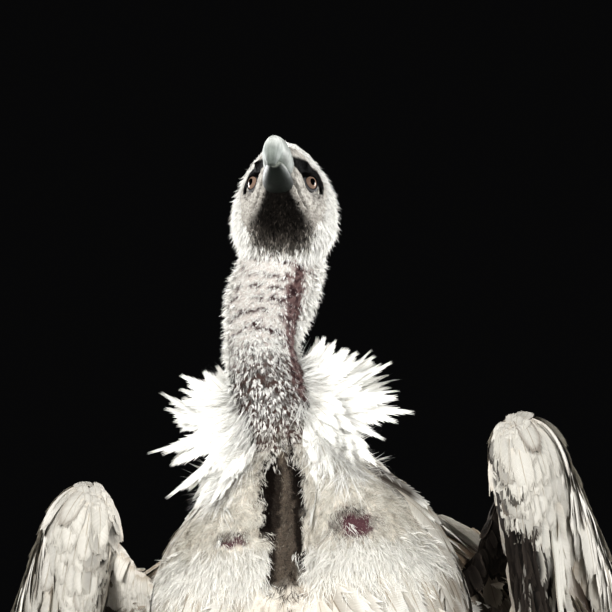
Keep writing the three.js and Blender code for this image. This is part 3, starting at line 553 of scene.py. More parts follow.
def wing_place(name):
    side, wrist, facing = WINGS[name]
    a = math.radians(facing)
    back = np.array([side * math.sin(a), math.cos(a), 0])
    out = np.array([side * math.cos(a), -math.sin(a), 0])

    def place(p, q, n):
        p, q, n = np.broadcast_arrays(*(np.asarray(v, float) for v in (p, q, n)))
        height = n - CUP_BACK * p * abs(p) - CUP_DOWN * q * abs(q)
        return wrist + back * p[..., None] + out * height[..., None] - Z_AXIS * q[..., None]

    return place


def limb(place, rows, rings=24, sides=24):
    """Rings round a bone of the wing: back, down, chord, thickness and height at each row."""
    x = np.linspace(0, len(rows) - 1, rings + 1)
    p, q, chord, thick, height = through(rows, x)[..., None].transpose(1, 0, 2)
    run = unit(heading(np.asarray(rows, float), x)[:, :2])
    turn = circle(sides)
    c = chord * np.cos(turn)
    return place(p - run[:, 1:] * c, q + run[:, :1] * c, height + thick * np.sin(turn))


def forearm_rows(less):
    e, f = ELBOW
    rows = [[e + 18, f + 8, 14, 10, 11], [e, f, 32, 21, 11], [e * 0.6, f * 0.6, 36, 23, 8],
            [e * 0.25, f * 0.25, 38, 26, 4], [2, 4, 32, 27, 2], [-14, -7, 13, 12, 1]]
    return [[p, q, c - less, t - less, h] for p, q, c, t, h in rows]


def hand_rows(less):
    e, f = FINGER
    rows = [[-4, -20, 9, 12, 1], [2, 6, 28, 27, 1], [18, 66, 28, 21, -2], [36, 128, 21, 13, -6],
            [e, f, 12, 7, -9], [e + 5, f + 22, 5, 4, -9]]
    return [[p, q, max(c - less, 2), max(t - less, 2), h] for p, q, c, t, h in rows]


def patagium(name, less):
    """The web of skin before the upper arm."""
    side = WINGS[name][0]
    place = wing_place(name)
    shoulder = mirrored(SHOULDER, side)
    made = []
    for t in np.linspace(0, 1, 13):
        sag = 0.9 if side > 0 else 0.1  # the right one is drawn tight
        free = mix(place(-4, 10, -12), shoulder + [side * 6, -20, -34], t)
        free = free + sag * np.array([0, 26, -16]) * math.sin(math.pi * t)
        share = mix(0.12, 0.9, math.sin(math.pi / 2 * t))
        held = mix(place(ELBOW[0] * share, ELBOW[1] * share, -6), shoulder + [0, 30, 6], t**3)
        run = held - free
        half = np.linalg.norm(run) / 2 - less
        run = unit(run)
        lift = unit(np.cross(run, [-side * 0.75, 0.2, -0.6]))
        a = circle(16)[:, None]
        made.append((free + held) / 2 + run * half * np.cos(a) + lift * (6 - less * 0.5) * np.sin(a))
    return np.array(made)


def arm_frame(name):
    side = WINGS[name][0]
    start = np.array([side * SHOULDER[0] * 0.7, SHOULDER[1], SHOULDER[2] - 6])
    end = wing_place(name)(*ELBOW, 14)
    run = unit(end - start)
    flat = unit(np.cross(run, Z_AXIS))
    return start, end, run, flat, unit(np.cross(flat, run))


ARM_ROWS = [[46, 34], [48, 36], [44, 32], [38, 27], [32, 23], [22, 16]]


def arm_point(name, less=0.0):
    start, end, _, flat, high = arm_frame(name)

    def point(t, angle):
        t, angle = np.broadcast_arrays(np.asarray(t, float), np.asarray(angle, float))
        tall, wide = np.moveaxis(through(ARM_ROWS, t * 5), -1, 0)
        c, s = np.cos(np.radians(angle)), np.sin(np.radians(angle))
        at = mix(start, end, t[..., None])
        return at + flat * ((wide - less) * c)[..., None] + high * ((tall - less) * s)[..., None]

    return point


# ---------------------------------------------------------------- skin

THIGH = [HIP, (66, 60, 270), (72, 82, 192), (74, 100, 150), HEEL]
THIGH_RADII = [[54, 62], [50, 60], [36, 42], [24, 28], [14, 16]]
THIGH_LESS = [[6, 6], [6, 6], [6, 6], [5, 5], [3, 3]]  # the depth of its coat


def coat_depth(x, off=0.0):
    """How deep the coat is: feathers on the trunk, down on the neck, and more beside its bare strip."""
    beside = 5.5 * bell(x - 13.0, 0.9) * bell(off - 85, 38)
    return np.interp(x, [0, 8.5, 10.4, 12, 17], [7, 7, 5, 3, 3]) + beside


def skin_place(x, angle):
    """A place on the skin of the trunk or neck."""
    return body_point(x, angle, -coat_depth(x, off_front(angle)))


def head_rings():
    x = np.linspace(0, len(HEAD) - 1, 64)
    forward, half, top, bottom, middle = through(HEAD, x).T[:, :, None]
    less = np.interp(forward, [-60, -10, 12, 25], [4.0, 3.2, 0.8, 0.3])
    cos, sin = (np.sign(c) * np.abs(c) ** 0.88 for c in (np.cos(circle(72))[None], np.sin(circle(72))[None]))
    up = middle + np.where(cos > 0, top - less - middle, middle - bottom - less) * cos
    return on_head(forward + 0 * up, np.maximum(half - less, 1) * sin, up)


def rump_rings():
    base, along, across, ventral = section(0.0)
    a = circle(32)[:, None]
    rings = []
    for t in np.linspace(0, 1, 8):
        wide, deep = (base[3:5] - [6, 5]) * (1 - 0.62 * t * t)
        rings.append(base[:3] - along * (44 * t - 6) + across * wide * np.sin(a) + ventral * deep * np.cos(a))
    return rings


def wing_bones(name):
    """Rings of the forearm and hand."""
    return [limb(wing_place(name), rows) for rows in (forearm_rows(5), hand_rows(5))]


def skin_mesh():
    solids = [skin_place(np.linspace(0, 17, 260)[:, None], np.degrees(circle(120))[None]), head_rings()]
    for side in SIDES.values():
        solids.append(sweep(mirrored(THIGH, side), np.array(THIGH_RADII) - THIGH_LESS, 24, 32))
        brow = on_head(7, side * 19, 11.5)
        path = [brow + head_way(1, side * 0.35, 0.1) * k for k in (-15, -8, 0, 8, 14)]
        solids.append(sweep(path, [[1.5, 1.5], [4.5, 3.6], [5.5, 4], [4, 3], [1.2, 1.2]], 12, 16))
    for name in WINGS:
        arm = arm_point(name, 6)(np.linspace(0, 1, 20)[:, None], np.degrees(circle(32))[None])
        solids += [*wing_bones(name), patagium(name, 2), arm]
    return remeshed(*joined([loft(rings) for rings in [*solids, rump_rings()]]), VOXEL, 3)


def refine_face(mesh):
    """Finer faces for the relief that face_relief gives the face: sunk eyes, folds under them and the gape.
    """
    made = bmesh.new()
    made.from_mesh(mesh)
    for reach in (-22, -6):
        near = []
        for edge in made.edges:
            middle = (edge.verts[0].co + edge.verts[1].co) / 2
            f, _, u = in_head(np.array(middle) * 1000 - SHIFT)
            if f > reach and u > -70:
                near.append(edge)
        bmesh.ops.subdivide_edges(made, edges=near, cuts=1, use_grid_fill=True)
        verts = list({v for edge in near if edge.is_valid for v in edge.verts})
        bmesh.ops.smooth_vert(
            made, verts=verts, factor=0.5, use_axis_x=True, use_axis_y=True, use_axis_z=True)
    made.to_mesh(mesh)
    made.free()


def gape(f, u):
    """How far a point of the face is over the line of the mouth, and the half width of that line there."""
    line = np.interp(f, [8, 16, 24, 30, 37], [-28, -25.6, -22, -18.6, -16.5])
    return u - line, np.interp(f, [8, 18, 30, 38], [0.5, 0.75, 1.1, 1.7])


def face_relief(points):
    """How far the skin of the head stands out, in mm."""
    f, l, u = in_head(points)
    side = np.abs(l)
    total = np.zeros(len(points))
    for s in SIDES.values():
        look, middle = gaze(s), eye_middle(s)
        reach = points - middle
        out = dot(reach, look)[:, 0]
        away = np.linalg.norm(reach - out[:, None] * look, axis=1)
        front = (out > 0) & (l * s > 0)
        total -= np.where(front, 6.0 * bell(away, 11), 0)
        total += np.where(front & (u < 2), 0.6 * np.cos((away - 12.5) * 1.7) * bell(away - 14, 4.5), 0)
    over_gape, gape_width = gape(f, u)
    lips = 0.8 * bell(over_gape - 2.6, 1.4) + 1.0 * bell(over_gape + 2.8, 1.4)
    total += smooth(6, 12, f) * smooth(4, 9, side) * (-1.8 * gape_width * bell(over_gape, gape_width) + lips)
    lore = smooth(10, 20, f) * smooth(36, 28, f)
    total -= 2.6 * lore * bell(u - 4, 7) * smooth(8, 14, side)
    cheek = smooth(-30, 0, f) * smooth(2, -8, u)
    total += cheek * 0.35 * np.sin(rough(points, 9, 3) * 5 + u * 0.9)
    return total


mesh = skin_mesh()
refine_face(mesh)
skin_points, skin_tris = arrays_of(mesh)
skin_normals = normals_of(skin_points, skin_tris)
on_face = in_head(skin_points)[0] > -30
skin_points[on_face] += (skin_normals * face_relief(skin_points)[:, None])[on_face]
skin_normals = normals_of(skin_points, skin_tris)

# Where each point of the skin is: its station and angle on the spine, and the kind of part it belongs to.
grid_x, grid_a = np.meshgrid(np.linspace(0, 17, 240), np.degrees(circle(90)), indexing="ij")
grid_p = skin_place(grid_x, grid_a)
arm_p = []
for name in WINGS:
    ring = arm_point(name, 6)(np.linspace(0.15, 1, 20)[:, None], np.arange(0, 360, 12)[None])
    arm_p += [patagium(name, 2), ring]
limb_p = [ring for name in WINGS for ring in wing_bones(name)]
limb_p += [sweep(mirrored(THIGH, side), np.array(THIGH_RADII) - 4.0, 30, 32) for side in SIDES.values()]
web_count, arm_count = arm_p[0].size // 3, sum(p.size for p in arm_p) // 3
grid_count, head_count = grid_p.size // 3, head_rings().size // 3
tree = tree_of(np.concatenate([p.reshape(-1, 3) for p in (grid_p, head_rings(), *arm_p, *limb_p)]))
nearest = np.array([tree.find(p)[1] for p in skin_points])
KIND = (nearest >= grid_count).astype(int) + (nearest >= grid_count + head_count)  # 0 trunk, 1 head, 2 limb
on_limb = nearest - grid_count - head_count
ON_ARM = (KIND == 2) & (on_limb < arm_count)  # the upper arms and the webs before them
ON_WEB = ON_ARM & (on_limb % (arm_count // 2) < web_count)
on_spine = np.minimum(nearest, grid_count - 1)
STATION, ANGLE = grid_x.ravel()[on_spine], grid_a.ravel()[on_spine]

# ---------------------------------------------------------------- markings

BRIGHT, WHITE, CREAM, BUFF = (0.93, 0.925, 0.90), (0.86, 0.85, 0.81), (0.66, 0.60, 0.51), (0.40, 0.31, 0.22)


def tones(count, *steps):
    """Colours for many points: a first colour, then (share, colour) pairs laid over it in turn."""
    made = np.tile(np.asarray(steps[0], float), (count, 1))
    for share, colour in steps[1:]:
        made += (np.asarray(colour, float) - made) * np.clip(share, 0, 1)[:, None]
    return made


# Marks on the face, as shares from 0 to 1, at points given in front of the eyes, to the left and up.

# The black bare skin before, over and behind the eye, with painted shade of the brow over it: forward, up and
# radius along its middle line.
BLACK_LINE = [(36, 2, 5.5), (23, 6, 7.5), (11, 10, 6.5), (-2, 11.5, 5.5), (-6, 5, 4), (-5, -3, 2.2)]


def dark_skin_and_brow_shade(f, l, u):
    total = np.zeros(np.shape(f))
    for (f0, u0, r0), (f1, u1, r1) in zip(BLACK_LINE, BLACK_LINE[1:]):
        t = np.clip(((f - f0) * (f1 - f0) + (u - u0) * (u1 - u0)) / ((f1 - f0) ** 2 + (u1 - u0) ** 2), 0, 1)
        away = np.hypot(f - mix(f0, f1, t), u - mix(u0, u1, t)) / mix(r0, r1, t)
        total = np.maximum(total, smooth(1.25, 0.75, away))
    return total * smooth(8, 12, np.abs(l))


def near_black(f, l, u):
    """Places from which long down would hang over the black skin and its painted brow shade."""
    return np.clip(sum(dark_skin_and_brow_shade(f + df, l, u + du) for df, du in ((0, 0), (3, 2), (0, 4), (-3, 0))), 0, 1)


# The throat's half width at places forward.
THROAT = ([-25, -10, 0, 10, 20, 30, 36], [31, 29, 26, 22, 16.5, 12.5, 11])


def throat_mark(f, l, u):
    """The dark bristly wedge that widens from the bill to the throat."""
    half = np.interp(f, *THROAT)
    return smooth(1.1, 0.8, np.abs(l) / half) * smooth(-16, -21, u) * smooth(-30, -8, f)


def face_share(f, u):
    """1 on the bare face, 0 where the down starts."""
    edge = np.interp(u, [-50, -36, -20, -8, 6, 12, 16, 22, 35], [-4, -3, -6, -7, -9, -7, 6, 22, 33])
    return smooth(-4, 4, f - edge)


def under_eye(f, l, u):
    """Painted shade in the creases under each eye."""
    f_eye, u_eye = np.where(l > 0, 3.2, 1.4), np.where(l > 0, 0.6, 4.7)
    away = np.hypot(f - f_eye, u - u_eye)
    rings = bell(away - 9.0, 0.7) + 0.8 * bell(away - 11.6, 0.7) + 0.5 * bell(away - 14.4, 0.8)
    return np.clip(rings, 0, 1) * smooth(1, -5, u - u_eye) * smooth(8, 14, np.abs(l)) * 0.7


# The bare marks on the crop, as station, degrees from the front, and size.
BARE = [(7.91, 27.5, 0.25, 6.6), (7.80, -24, 0.14, 4.6)]
RIM = 7.3  # the station of the white rim below the lobes


def strip_share(x, off):
    half = np.interp(x, [7.0, 7.8, 8.7, 9.5], [6.5, 9.0, 13.5, 18.0])
    return smooth(1.15, 0.9, np.abs(off + 3) / half) * smooth(6.95, 7.1, x) * smooth(10.15, 9.85, x)


def bare_share(x, off, raised=0.0, outer=1.25, inner=0.85):
    total = np.zeros(np.shape(x))
    for at, turn, tall, wide in BARE:
        away = np.hypot((x - at - raised) / tall, (off - turn) / wide)
        total = np.maximum(total, smooth(outer, inner, away))
    return total


def shaded_ring_share(x, off):
    """Painted shade round the bare marks, wider above them where the wool hangs over, with dark hairs in it.
    """
    return bare_share(x, off, 0.05, 1.5, 1.15) * (1 - bare_share(x, off))


def lobe_share(x, off):
    """The downy lobes on both sides of the strip."""
    return smooth(RIM - 0.12, RIM + 0.05, x) * smooth(66, 58, np.abs(off)) * smooth(10.4, 10.0, x)


def neck_bare(x, off):
    """The bare strip down the neck's left side."""
    middle = np.interp(x, [10.6, 11.6, 12.3, 13, 14, 15], [64, 58, 67, 74, 47, 37])
    half = np.interp(x, [10.6, 11.6, 13, 14, 15], [9, 15, 26, 17, 10])
    half = half * (1 + 0.35 * np.sin(x * 31 + 0.12 * off) * smooth(13.6, 14.3, x))
    return smooth(1.45, 0.65, np.abs(off - middle) / half) * smooth(10.5, 11.0, x) * smooth(15.3, 14.9, x)


points = skin_points
F, L, U = in_head(points)
OFF = off_front(ANGLE)
trunk, head, limbs = KIND == 0, KIND == 1, KIND == 2
neck, crop = trunk & (STATION > 9.9), trunk & (STATION < 10) & (STATION > 6)
wander = 1.3 * rough(points, 24, 5) + 0.5 * rough(points, 9, 8)
bands = smooth(0.25, 0.75, np.sin(STATION * 2 * math.pi * 2.5 + wander))
GAPS = bands * smooth(-0.55, 0.0, rough(points, 13, 6))
GAPS = GAPS * smooth(12.0, 12.8, STATION) * smooth(15.6, 15.0, STATION) * smooth(98, 70, np.abs(OFF))
over_gape, gape_width = gape(F, U)
GAPE = bell(over_gape, gape_width * 1.1) * smooth(7, 14, F) * smooth(4, 8, np.abs(L))
FACE, THROAT_MARK, BLACK_SKIN_AND_SHADE = face_share(F, U), throat_mark(F, L, U), dark_skin_and_brow_shade(F, L, U)
STRIP, BARE_SKIN, SHADED_RING = strip_share(STATION, OFF), bare_share(STATION, OFF), shaded_ring_share(STATION, OFF)
NECK_BARE = neck_bare(STATION, OFF)
# Painted shade: dark wrinkle lines across the bare strip.
wrinkle_shade = smooth(0.0, 0.8, np.sin(STATION * 55 + 2.2 * rough(points, 12, 5)))
tone = tones(
    len(points), (0.42, 0.36, 0.29),
    (neck * 1.0, (0.56, 0.53, 0.50)),
    (neck * smooth(12.9, 11.9, STATION), (0.07, 0.048, 0.042)),
    (neck * GAPS, (0.045, 0.026, 0.026)),
    (neck * NECK_BARE, (0.17, 0.115, 0.11)),
    (neck * NECK_BARE * wrinkle_shade, (0.03, 0.015, 0.017)),
    (head * 1.0, (0.50, 0.48, 0.44)),
    (head * FACE, (0.56, 0.55, 0.505)),
    (head * smooth(-0.2, 0.8, rough(points, 7, 9)) * FACE * 0.5, (0.19, 0.18, 0.16)),
    (head * smooth(0.25, 0.9, np.abs(rough(points, 3.5, 19))) * FACE * 0.5, (0.13, 0.12, 0.11)),
    (head * smooth(1.4, 0.95, np.abs(L) / np.interp(F, *THROAT)) * smooth(-18, -26, U) * 0.35,
     (0.20, 0.185, 0.165)),
    # painted shade in the creases under the eyes
    (head * FACE * under_eye(F, L, U), (0.10, 0.10, 0.105)),
    (head * THROAT_MARK, (0.009, 0.008, 0.007)),
    (head * THROAT_MARK * smooth(12, -8, F) * 0.7, (0.10, 0.09, 0.078)),
    # black skin round the eye, deepened with painted shade of the brow
    (head * BLACK_SKIN_AND_SHADE, (0.0012, 0.001, 0.001)),
    (head * GAPE, (0.004, 0.003, 0.003)),
    (crop * 1.0, (0.72, 0.69, 0.61)),
    (crop * smooth(0.15, 0.8, rough(points, 13, 44)) * 0.7, (0.30, 0.26, 0.21)),
    (crop * STRIP, (0.008, 0.006, 0.005)),
    (crop * STRIP * bell(OFF + 2.5, 4.0) * 0.9, (0.12, 0.10, 0.08)),
    (crop * BARE_SKIN, (0.095, 0.048, 0.055)),
    # painted shade, with dark hairs, round the bare marks
    (crop * SHADED_RING * 0.9, (0.014, 0.008, 0.008)),
)
tone[limbs & (points[:, 2] > 430)] = (0.50, 0.48, 0.43)
tone[ON_ARM] = (0.10, 0.085, 0.07)
tone[ON_WEB] = np.where(points[ON_WEB][:, :1] < 0, (0.66, 0.63, 0.57), (0.012, 0.01, 0.008))
folds = np.sin(STATION * 2 * math.pi * 4.5 + 1.2 * rough(points, 16, 5))
folds = 0.7 * folds * smooth(10.8, 11.6, STATION) * smooth(15, 14, STATION)
skin_points[neck] += skin_normals[neck] * folds[neck][:, None]
mesh_object("skin", skin_points, skin_tris, SKIN, "body_plumage", tone=tone,
            replaces=("head", "neck_upper", "neck_middle", "neck_lower", "torso", "thigh_left",
                      "thigh_right"))

# ---------------------------------------------------------------- coat


class Coat:
    """Gathers tufts and vanes and makes them into pieces of bounded size."""

    def __init__(self, name, material, slot):
        self.name, self.material, self.slot = name, material, slot
        self.batches = []

    def add(self, points, faces, tone, uv, grain=None):
        """points (n, v, 3) of n alike items, faces (t, 3) of one, and tone, uv and grain per point."""
        n, v = points.shape[:2]
        tone = np.broadcast_to(tone if np.ndim(tone) == 3 else np.asarray(tone)[:, None], (n, v, 3))
        grain = np.zeros((n, v, 3)) if grain is None else np.broadcast_to(grain, (n, v, 3))
        self.batches.append((points, faces, tone, np.broadcast_to(uv, (n, v, 2)), grain))

    def parted(self):
        """The batches, cut into lists of at most COAT_FACES triangles."""
        pieces, held, count = [], [], 0
        for points, faces, *more in self.batches:
            start = 0
            while start < len(points):
                take = min(max(1, (COAT_FACES - count) // len(faces)), len(points) - start)
                part = slice(start, start + take)
                held.append((points[part], faces, *(a[part] for a in more)))
                count += take * len(faces)
                start += take
                if count + len(faces) > COAT_FACES:
                    pieces.append(held)
                    held, count = [], 0
        return pieces + [held] * bool(held)

    def build(self, *nodes):
        pieces = self.parted()
        for i, batches in enumerate(pieces):
            at, faces = 0, []
            for points, form, *_ in batches:
                n, v = points.shape[:2]
                faces.append((form[None] + at + np.arange(n)[:, None, None] * v).reshape(-1, 3))
                at += n * v
            points, tone, uv, grain = (
                np.concatenate([b[k].reshape(-1, b[k].shape[-1]) for b in batches]) for k in (0, 2, 3, 4))
            name = self.name if len(pieces) == 1 else f"{self.name}_{i + 1}"
            mesh_object(name, points, np.concatenate(faces), self.material, self.slot, nodes, tone, grain, uv)


# Where places lie on the unwrapped skin: those on the trunk and neck, on the head and on the limbs.


def trunk_spots(x, angle):
    return np.stack([0.02 + 0.46 * (np.asarray(angle) % 360) / 360, 0.02 + 0.9 * np.asarray(x) / 18], -1)


def head_spots(f, l, u):
    turn = np.arctan2(l, u) / (2 * math.pi) + 0.5
    return np.stack([0.51 + 0.2 * turn, 0.02 + 0.9 * (np.asarray(f) + 75) / 125], -1)


def limb_spots(points):
    x, y, z = points.T
    return np.stack([np.where(x > 0, 0.73, 0.86) + 0.11 * ((y + 60) % 330) / 330, 0.02 + 0.9 * z / 720], -1)


SKIN_SPOTS = np.where(head[:, None], head_spots(F, L, U), limb_spots(points))
SKIN_SPOTS = np.where(trunk[:, None], trunk_spots(STATION, ANGLE), SKIN_SPOTS)


class Sample:
    """Random places on the skin, spread evenly but for a share kept at each."""

    def __init__(self, per_mm2, share, seed):
        self.rng = rng = dice(seed)
        corners = skin_points[skin_tris]
        edges = corners[:, 1:] - corners[:, :1]
        area = np.linalg.norm(np.cross(edges[:, 0], edges[:, 1]), axis=1) / 2
        want = area * share[skin_tris].mean(1) * per_mm2 * SHARE
        pick = np.repeat(np.arange(len(want)), np.floor(want + rng.random(len(want))).astype(int))
        a, b = rng.random(len(pick)), rng.random(len(pick))
        flip = a + b > 1
        a[flip], b[flip] = 1 - a[flip], 1 - b[flip]
        weight = np.stack([1 - a - b, a, b], 1)[..., None]
        self.at = (corners[pick] * weight).sum(1)
        self.normal = unit((skin_normals[skin_tris[pick]] * weight).sum(1))
        self.vertex = skin_tris[pick, 0]
        self.x, self.off, self.kind = STATION[self.vertex], OFF[self.vertex], KIND[self.vertex]
        self.uv = SKIN_SPOTS[self.vertex]
        self.f, self.l, self.u = in_head(self.at)
        self.count = len(pick)


skin_tree = tree_of(skin_points)


def hug(at, along, up, length, default=0.1):
    """How much each vane bends, as a share of its length, so that it follows the skin under it."""
    length = np.broadcast_to(length, len(at))
    bends = np.full(len(at), float(default))
    tips = at + along * length[:, None]
    for i in range(len(at)):
        root, tip = skin_tree.find(at[i])[1], skin_tree.find(tips[i])
        out, away = skin_normals[tip[1]], tips[i] - skin_points[tip[1]]
        high = away @ out
        if np.linalg.norm(away - out * high) < 12:
            start = (at[i] - skin_points[root]) @ skin_normals[root]
            bends[i] = (high - np.clip(start, 0.5, 8) - 0.7) / (max(up[i] @ out, 0.45) * length[i])
    return np.clip(bends, -0.04, 0.6)


def lie(s):
    """The way the coat lies at places on the skin: back over the head and down the neck and trunk."""
    back = mix(head_way(-1.0, 0, -0.75), head_way(-0.6, 0, -1.0), 1 - smooth(-25, 5, s.u)[:, None])
    way = np.where((s.kind == 1)[:, None], back, -section(s.x)[1])
    return square(np.where((s.kind == 2)[:, None], np.array([0, 0.35, -1.0]), way), s.normal)


def tuft(coat, at, normal, way, length, width, lay, tone, uv, rng, strands=8, gather=1.6, wild=0.3, curl=0.35,
         close=0.0):
    """Tufts of tapering strands. lay is 0 for strands that stand on end and 1 for ones that lie flat, and
    close is 1 where they run together to one point."""
    n = len(at)
    lean = unit(normal * (1 - lay) + way * lay + rng.normal(0, 0.22, (n, 3)))
    item = np.repeat(np.arange(n), strands)
    m = len(item)
    out, root = normal[item], at[item]
    shift = rng.normal(0, gather, (m, 3))
    root = root + shift - out * dot(shift, out) - out * 0.6
    d = unit(lean[item] + rng.normal(0, wild, (m, 3)))
    long = (np.broadcast_to(length, n)[item] * rng.uniform(0.55, 1.15, m))[:, None]
    if close:
        d = unit(mix(d, unit(lean[item] * long - (root - at[item])), close))
    side = unit(np.cross(d, out) + rng.normal(0, 0.25, (m, 3))) * (width * 0.5)
    bend = unit(d + way[item] * curl + rng.normal(0, curl, (m, 3)))
    middle = root + d * long * 0.5
    tip = middle + bend * long * 0.5
    points = np.stack([root - side, root + side, middle - side * 0.8, middle + side * 0.8, tip], 1)
    faces = np.array([[0, 1, 3], [0, 3, 2], [2, 3, 4]])
    shade = (tone[item] * rng.uniform(0.86, 1.06, (m, 1)))[:, None]
    # Painted shade: each strand darker at its root, among the others, and a little lighter at its tip.
    shade = shade * np.array([0.72, 0.72, 0.95, 0.95, 1.04])[None, :, None]
    spots = uv[item][:, None] + PATCH * np.array([[0, -0.5], [0, 0.5], [0.5, -0.4], [0.5, 0.4], [1, 0]])
    coat.add(points, faces, shade, spots)


def shades(n, colour, rng, spread_by=0.1):
    """n colours about one."""
    return np.tile(np.asarray(colour, float), (n, 1)) * rng.normal(1, spread_by, (n, 1)).clip(0.6, 1.35)


def cover(coat, s, length, width, lay, tone, vary=None, way=None, **how):
    """Tufts at the places of a sample. tone is one colour, varied by a share, or a colour for each."""
    if vary is not None:
        tone = shades(s.count, tone, s.rng, vary)
    tuft(coat, s.at, s.normal, lie(s) if way is None else way, length, width, lay, tone, s.uv, s.rng, **how)


class Form:
    """The mesh of one feather: share of the length, share of the half width, and height as a share of it."""

    def __init__(self, outline, rows, core, fringe, seed, notch, columns=(-1, -0.5, 0, 0.5, 1), dip=0.25):
        rng = dice(seed)
        width_at = lambda share: np.interp(share, *np.array(outline).T)
        s, c = np.linspace(0, 1, rows + 1), len(columns)
        self.s = np.repeat(s, c)
        self.y = (width_at(s)[:, None] * np.array(columns, float) * core).ravel()
        i, j = np.meshgrid(np.arange(rows), np.arange(c - 1), indexing="ij")
        a = i * c + j
        faces = [halves(np.stack([a, a + 1, a + 1 + c, a + c], -1).reshape(-1, 4))]
        more_s, more_y = [], []
        at = len(self.s)
        for side in (-1, 1):
            for k in range(fringe):
                low, high = 0.06 + 0.92 * k / fringe, 0.06 + 0.92 * (k + 1.25) / fringe
                tip = min(1.04, high + rng.uniform(0.03, 0.12))
                reach = width_at(min((low + high) / 2, 1)) * rng.uniform(1 - notch * 1.5, 1 + notch * 0.6)
                more_s += [low, min(high, 1), tip]
                more_y += [side * width_at(v) * core * 0.96 for v in (low, min(high, 1))] + [side * reach]
                faces.append(np.array([[at, at + 1, at + 2] if side < 0 else [at, at + 2, at + 1]]))
                at += 3
        self.s, self.y = np.append(self.s, more_s), np.append(self.y, more_y)
        self.h = -dip * self.y**2 + 0.06 * (np.abs(self.y) < 0.02)
        self.faces = np.concatenate(faces)
        self.side = self.y / np.maximum(width_at(np.clip(self.s, 0, 1)), 0.05)


BODY_SHAPE = [[0, 0.3], [0.12, 0.75], [0.4, 1], [0.7, 0.95], [0.88, 0.72], [1, 0.22]]
BREAST_SHAPE = [[0, 0.35], [0.15, 0.8], [0.42, 1], [0.7, 0.82], [0.9, 0.45], [1, 0.08]]
LANCE_SHAPE = [[0, 0.35], [0.15, 0.75], [0.38, 1], [0.6, 0.8], [0.78, 0.46], [0.92, 0.2], [1, 0.02]]
COVERT_SHAPE = [[0, 0.35], [0.15, 0.8], [0.45, 1], [0.75, 0.92], [0.92, 0.6], [1, 0.15]]
BODY_FORMS = [Form(BODY_SHAPE, 6, 0.72, 9, seed, 0.22) for seed in range(5)]
BREAST_FORMS = [Form(BREAST_SHAPE, 6, 0.58, 13, seed, 0.32, (-1, 0, 1), 0.3) for seed in range(6)]
LANCE_FORMS = [Form(LANCE_SHAPE, 9, 0.7, 18, seed, 0.18, (-1, 0, 1), 0.3) for seed in range(6)]
COVERT_FORMS = [Form(COVERT_SHAPE, 7, 0.9, 11, seed, 0.07, dip=0.05) for seed in range(5)]


def lay(coat, forms, at, along, up, length, width, tone, uv, rng, bend=0.1, lift=0.0, twist=0.0):
    """Vanes at places, each along its way with its face up. tone is a function of share, side and item."""
    n = len(at)
    length, width, bend = (np.broadcast_to(v, n).astype(float) for v in (length, width, bend))
    turn = np.broadcast_to(twist, n)[:, None]
    across = unit(np.cross(along, up))
    across, up = across * np.cos(turn) + up * np.sin(turn), up * np.cos(turn) - across * np.sin(turn)
    which = rng.integers(0, len(forms), n)
    wave = rng.normal(0, 0.03, n)
    for k, form in enumerate(forms):
        m = which == k
        s, y, h = form.s[None], form.y[None], form.h[None]
        long, half = length[m][:, None], width[m][:, None] / 2
        height = h * half - bend[m][:, None] * long * s * s + lift
        sway = wave[m][:, None] * long * s * s
        points = (at[m][:, None] + along[m][:, None] * (long * s)[..., None]
                  + across[m][:, None] * (half * y + sway)[..., None] + up[m][:, None] * height[..., None])
        side = np.broadcast_to(form.side[None], (m.sum(), len(form.s)))
        share = np.broadcast_to(s, side.shape)
        spots = uv[m][:, None] + PATCH * np.stack([share - 0.5, side * 0.4], -1)
        grain = np.stack([share, side, np.broadcast_to(long, side.shape)], -1)
        coat.add(points, form.faces, tone(share, side, np.nonzero(m)[0]), spots, grain)


def rim_share(s, side, side_from, tip_from):
    """1 on the edge of a vane, which starts at shares of its half width and of its length."""
    return np.maximum(smooth(side_from, 1.0, np.abs(side)), smooth(tip_from, 1.0, s))[..., None]


def plumage(base, edge, root, side_from, tip_from, strength):
    """A tone function from base and edge colours (n, 3). Feathers are pale at the root, but for dark ones."""
    def tone(share, side, items):
        b, e = base[items][:, None], edge[items][:, None]
        made = b + (e - b) * (rim_share(share, side, side_from, tip_from) * strength)
        pale = smooth(0.08, 0.5, b[..., :1])
        return made + (np.asarray(root) - made) * smooth(0.4, 0.0, share)[..., None] * 0.6 * pale
    return tone


# ---------------------------------------------------------------- down of the head and neck

down = Coat("down", DOWN, "down")
open_face = (1 - THROAT_MARK) * (1 - BLACK_SKIN_AND_SHADE)
crown = head * (1 - np.clip(1.6 * FACE, 0, 1)) * open_face * (1 - near_black(F, L, U))
s = Sample(0.42, crown, 11)
cover(down, s, 2.2 + 5.3 * smooth(15, -35, s.f), 0.4, 0.66, BRIGHT, 0.04, gather=1.2, wild=0.2, curl=0.2,
      close=0.4)
s = Sample(0.21, crown, 10)  # longer spikes that stand out of it
s.normal, way = unit(s.normal + head_way(-0.15, 0, -0.35)), lie(s)
cover(down, s, 3.8 + 6.4 * smooth(8, -25, s.f), 0.6, 0.42, BRIGHT, 0.03, way, strands=5, gather=0.8,
      wild=0.12, curl=0.1, close=0.9)

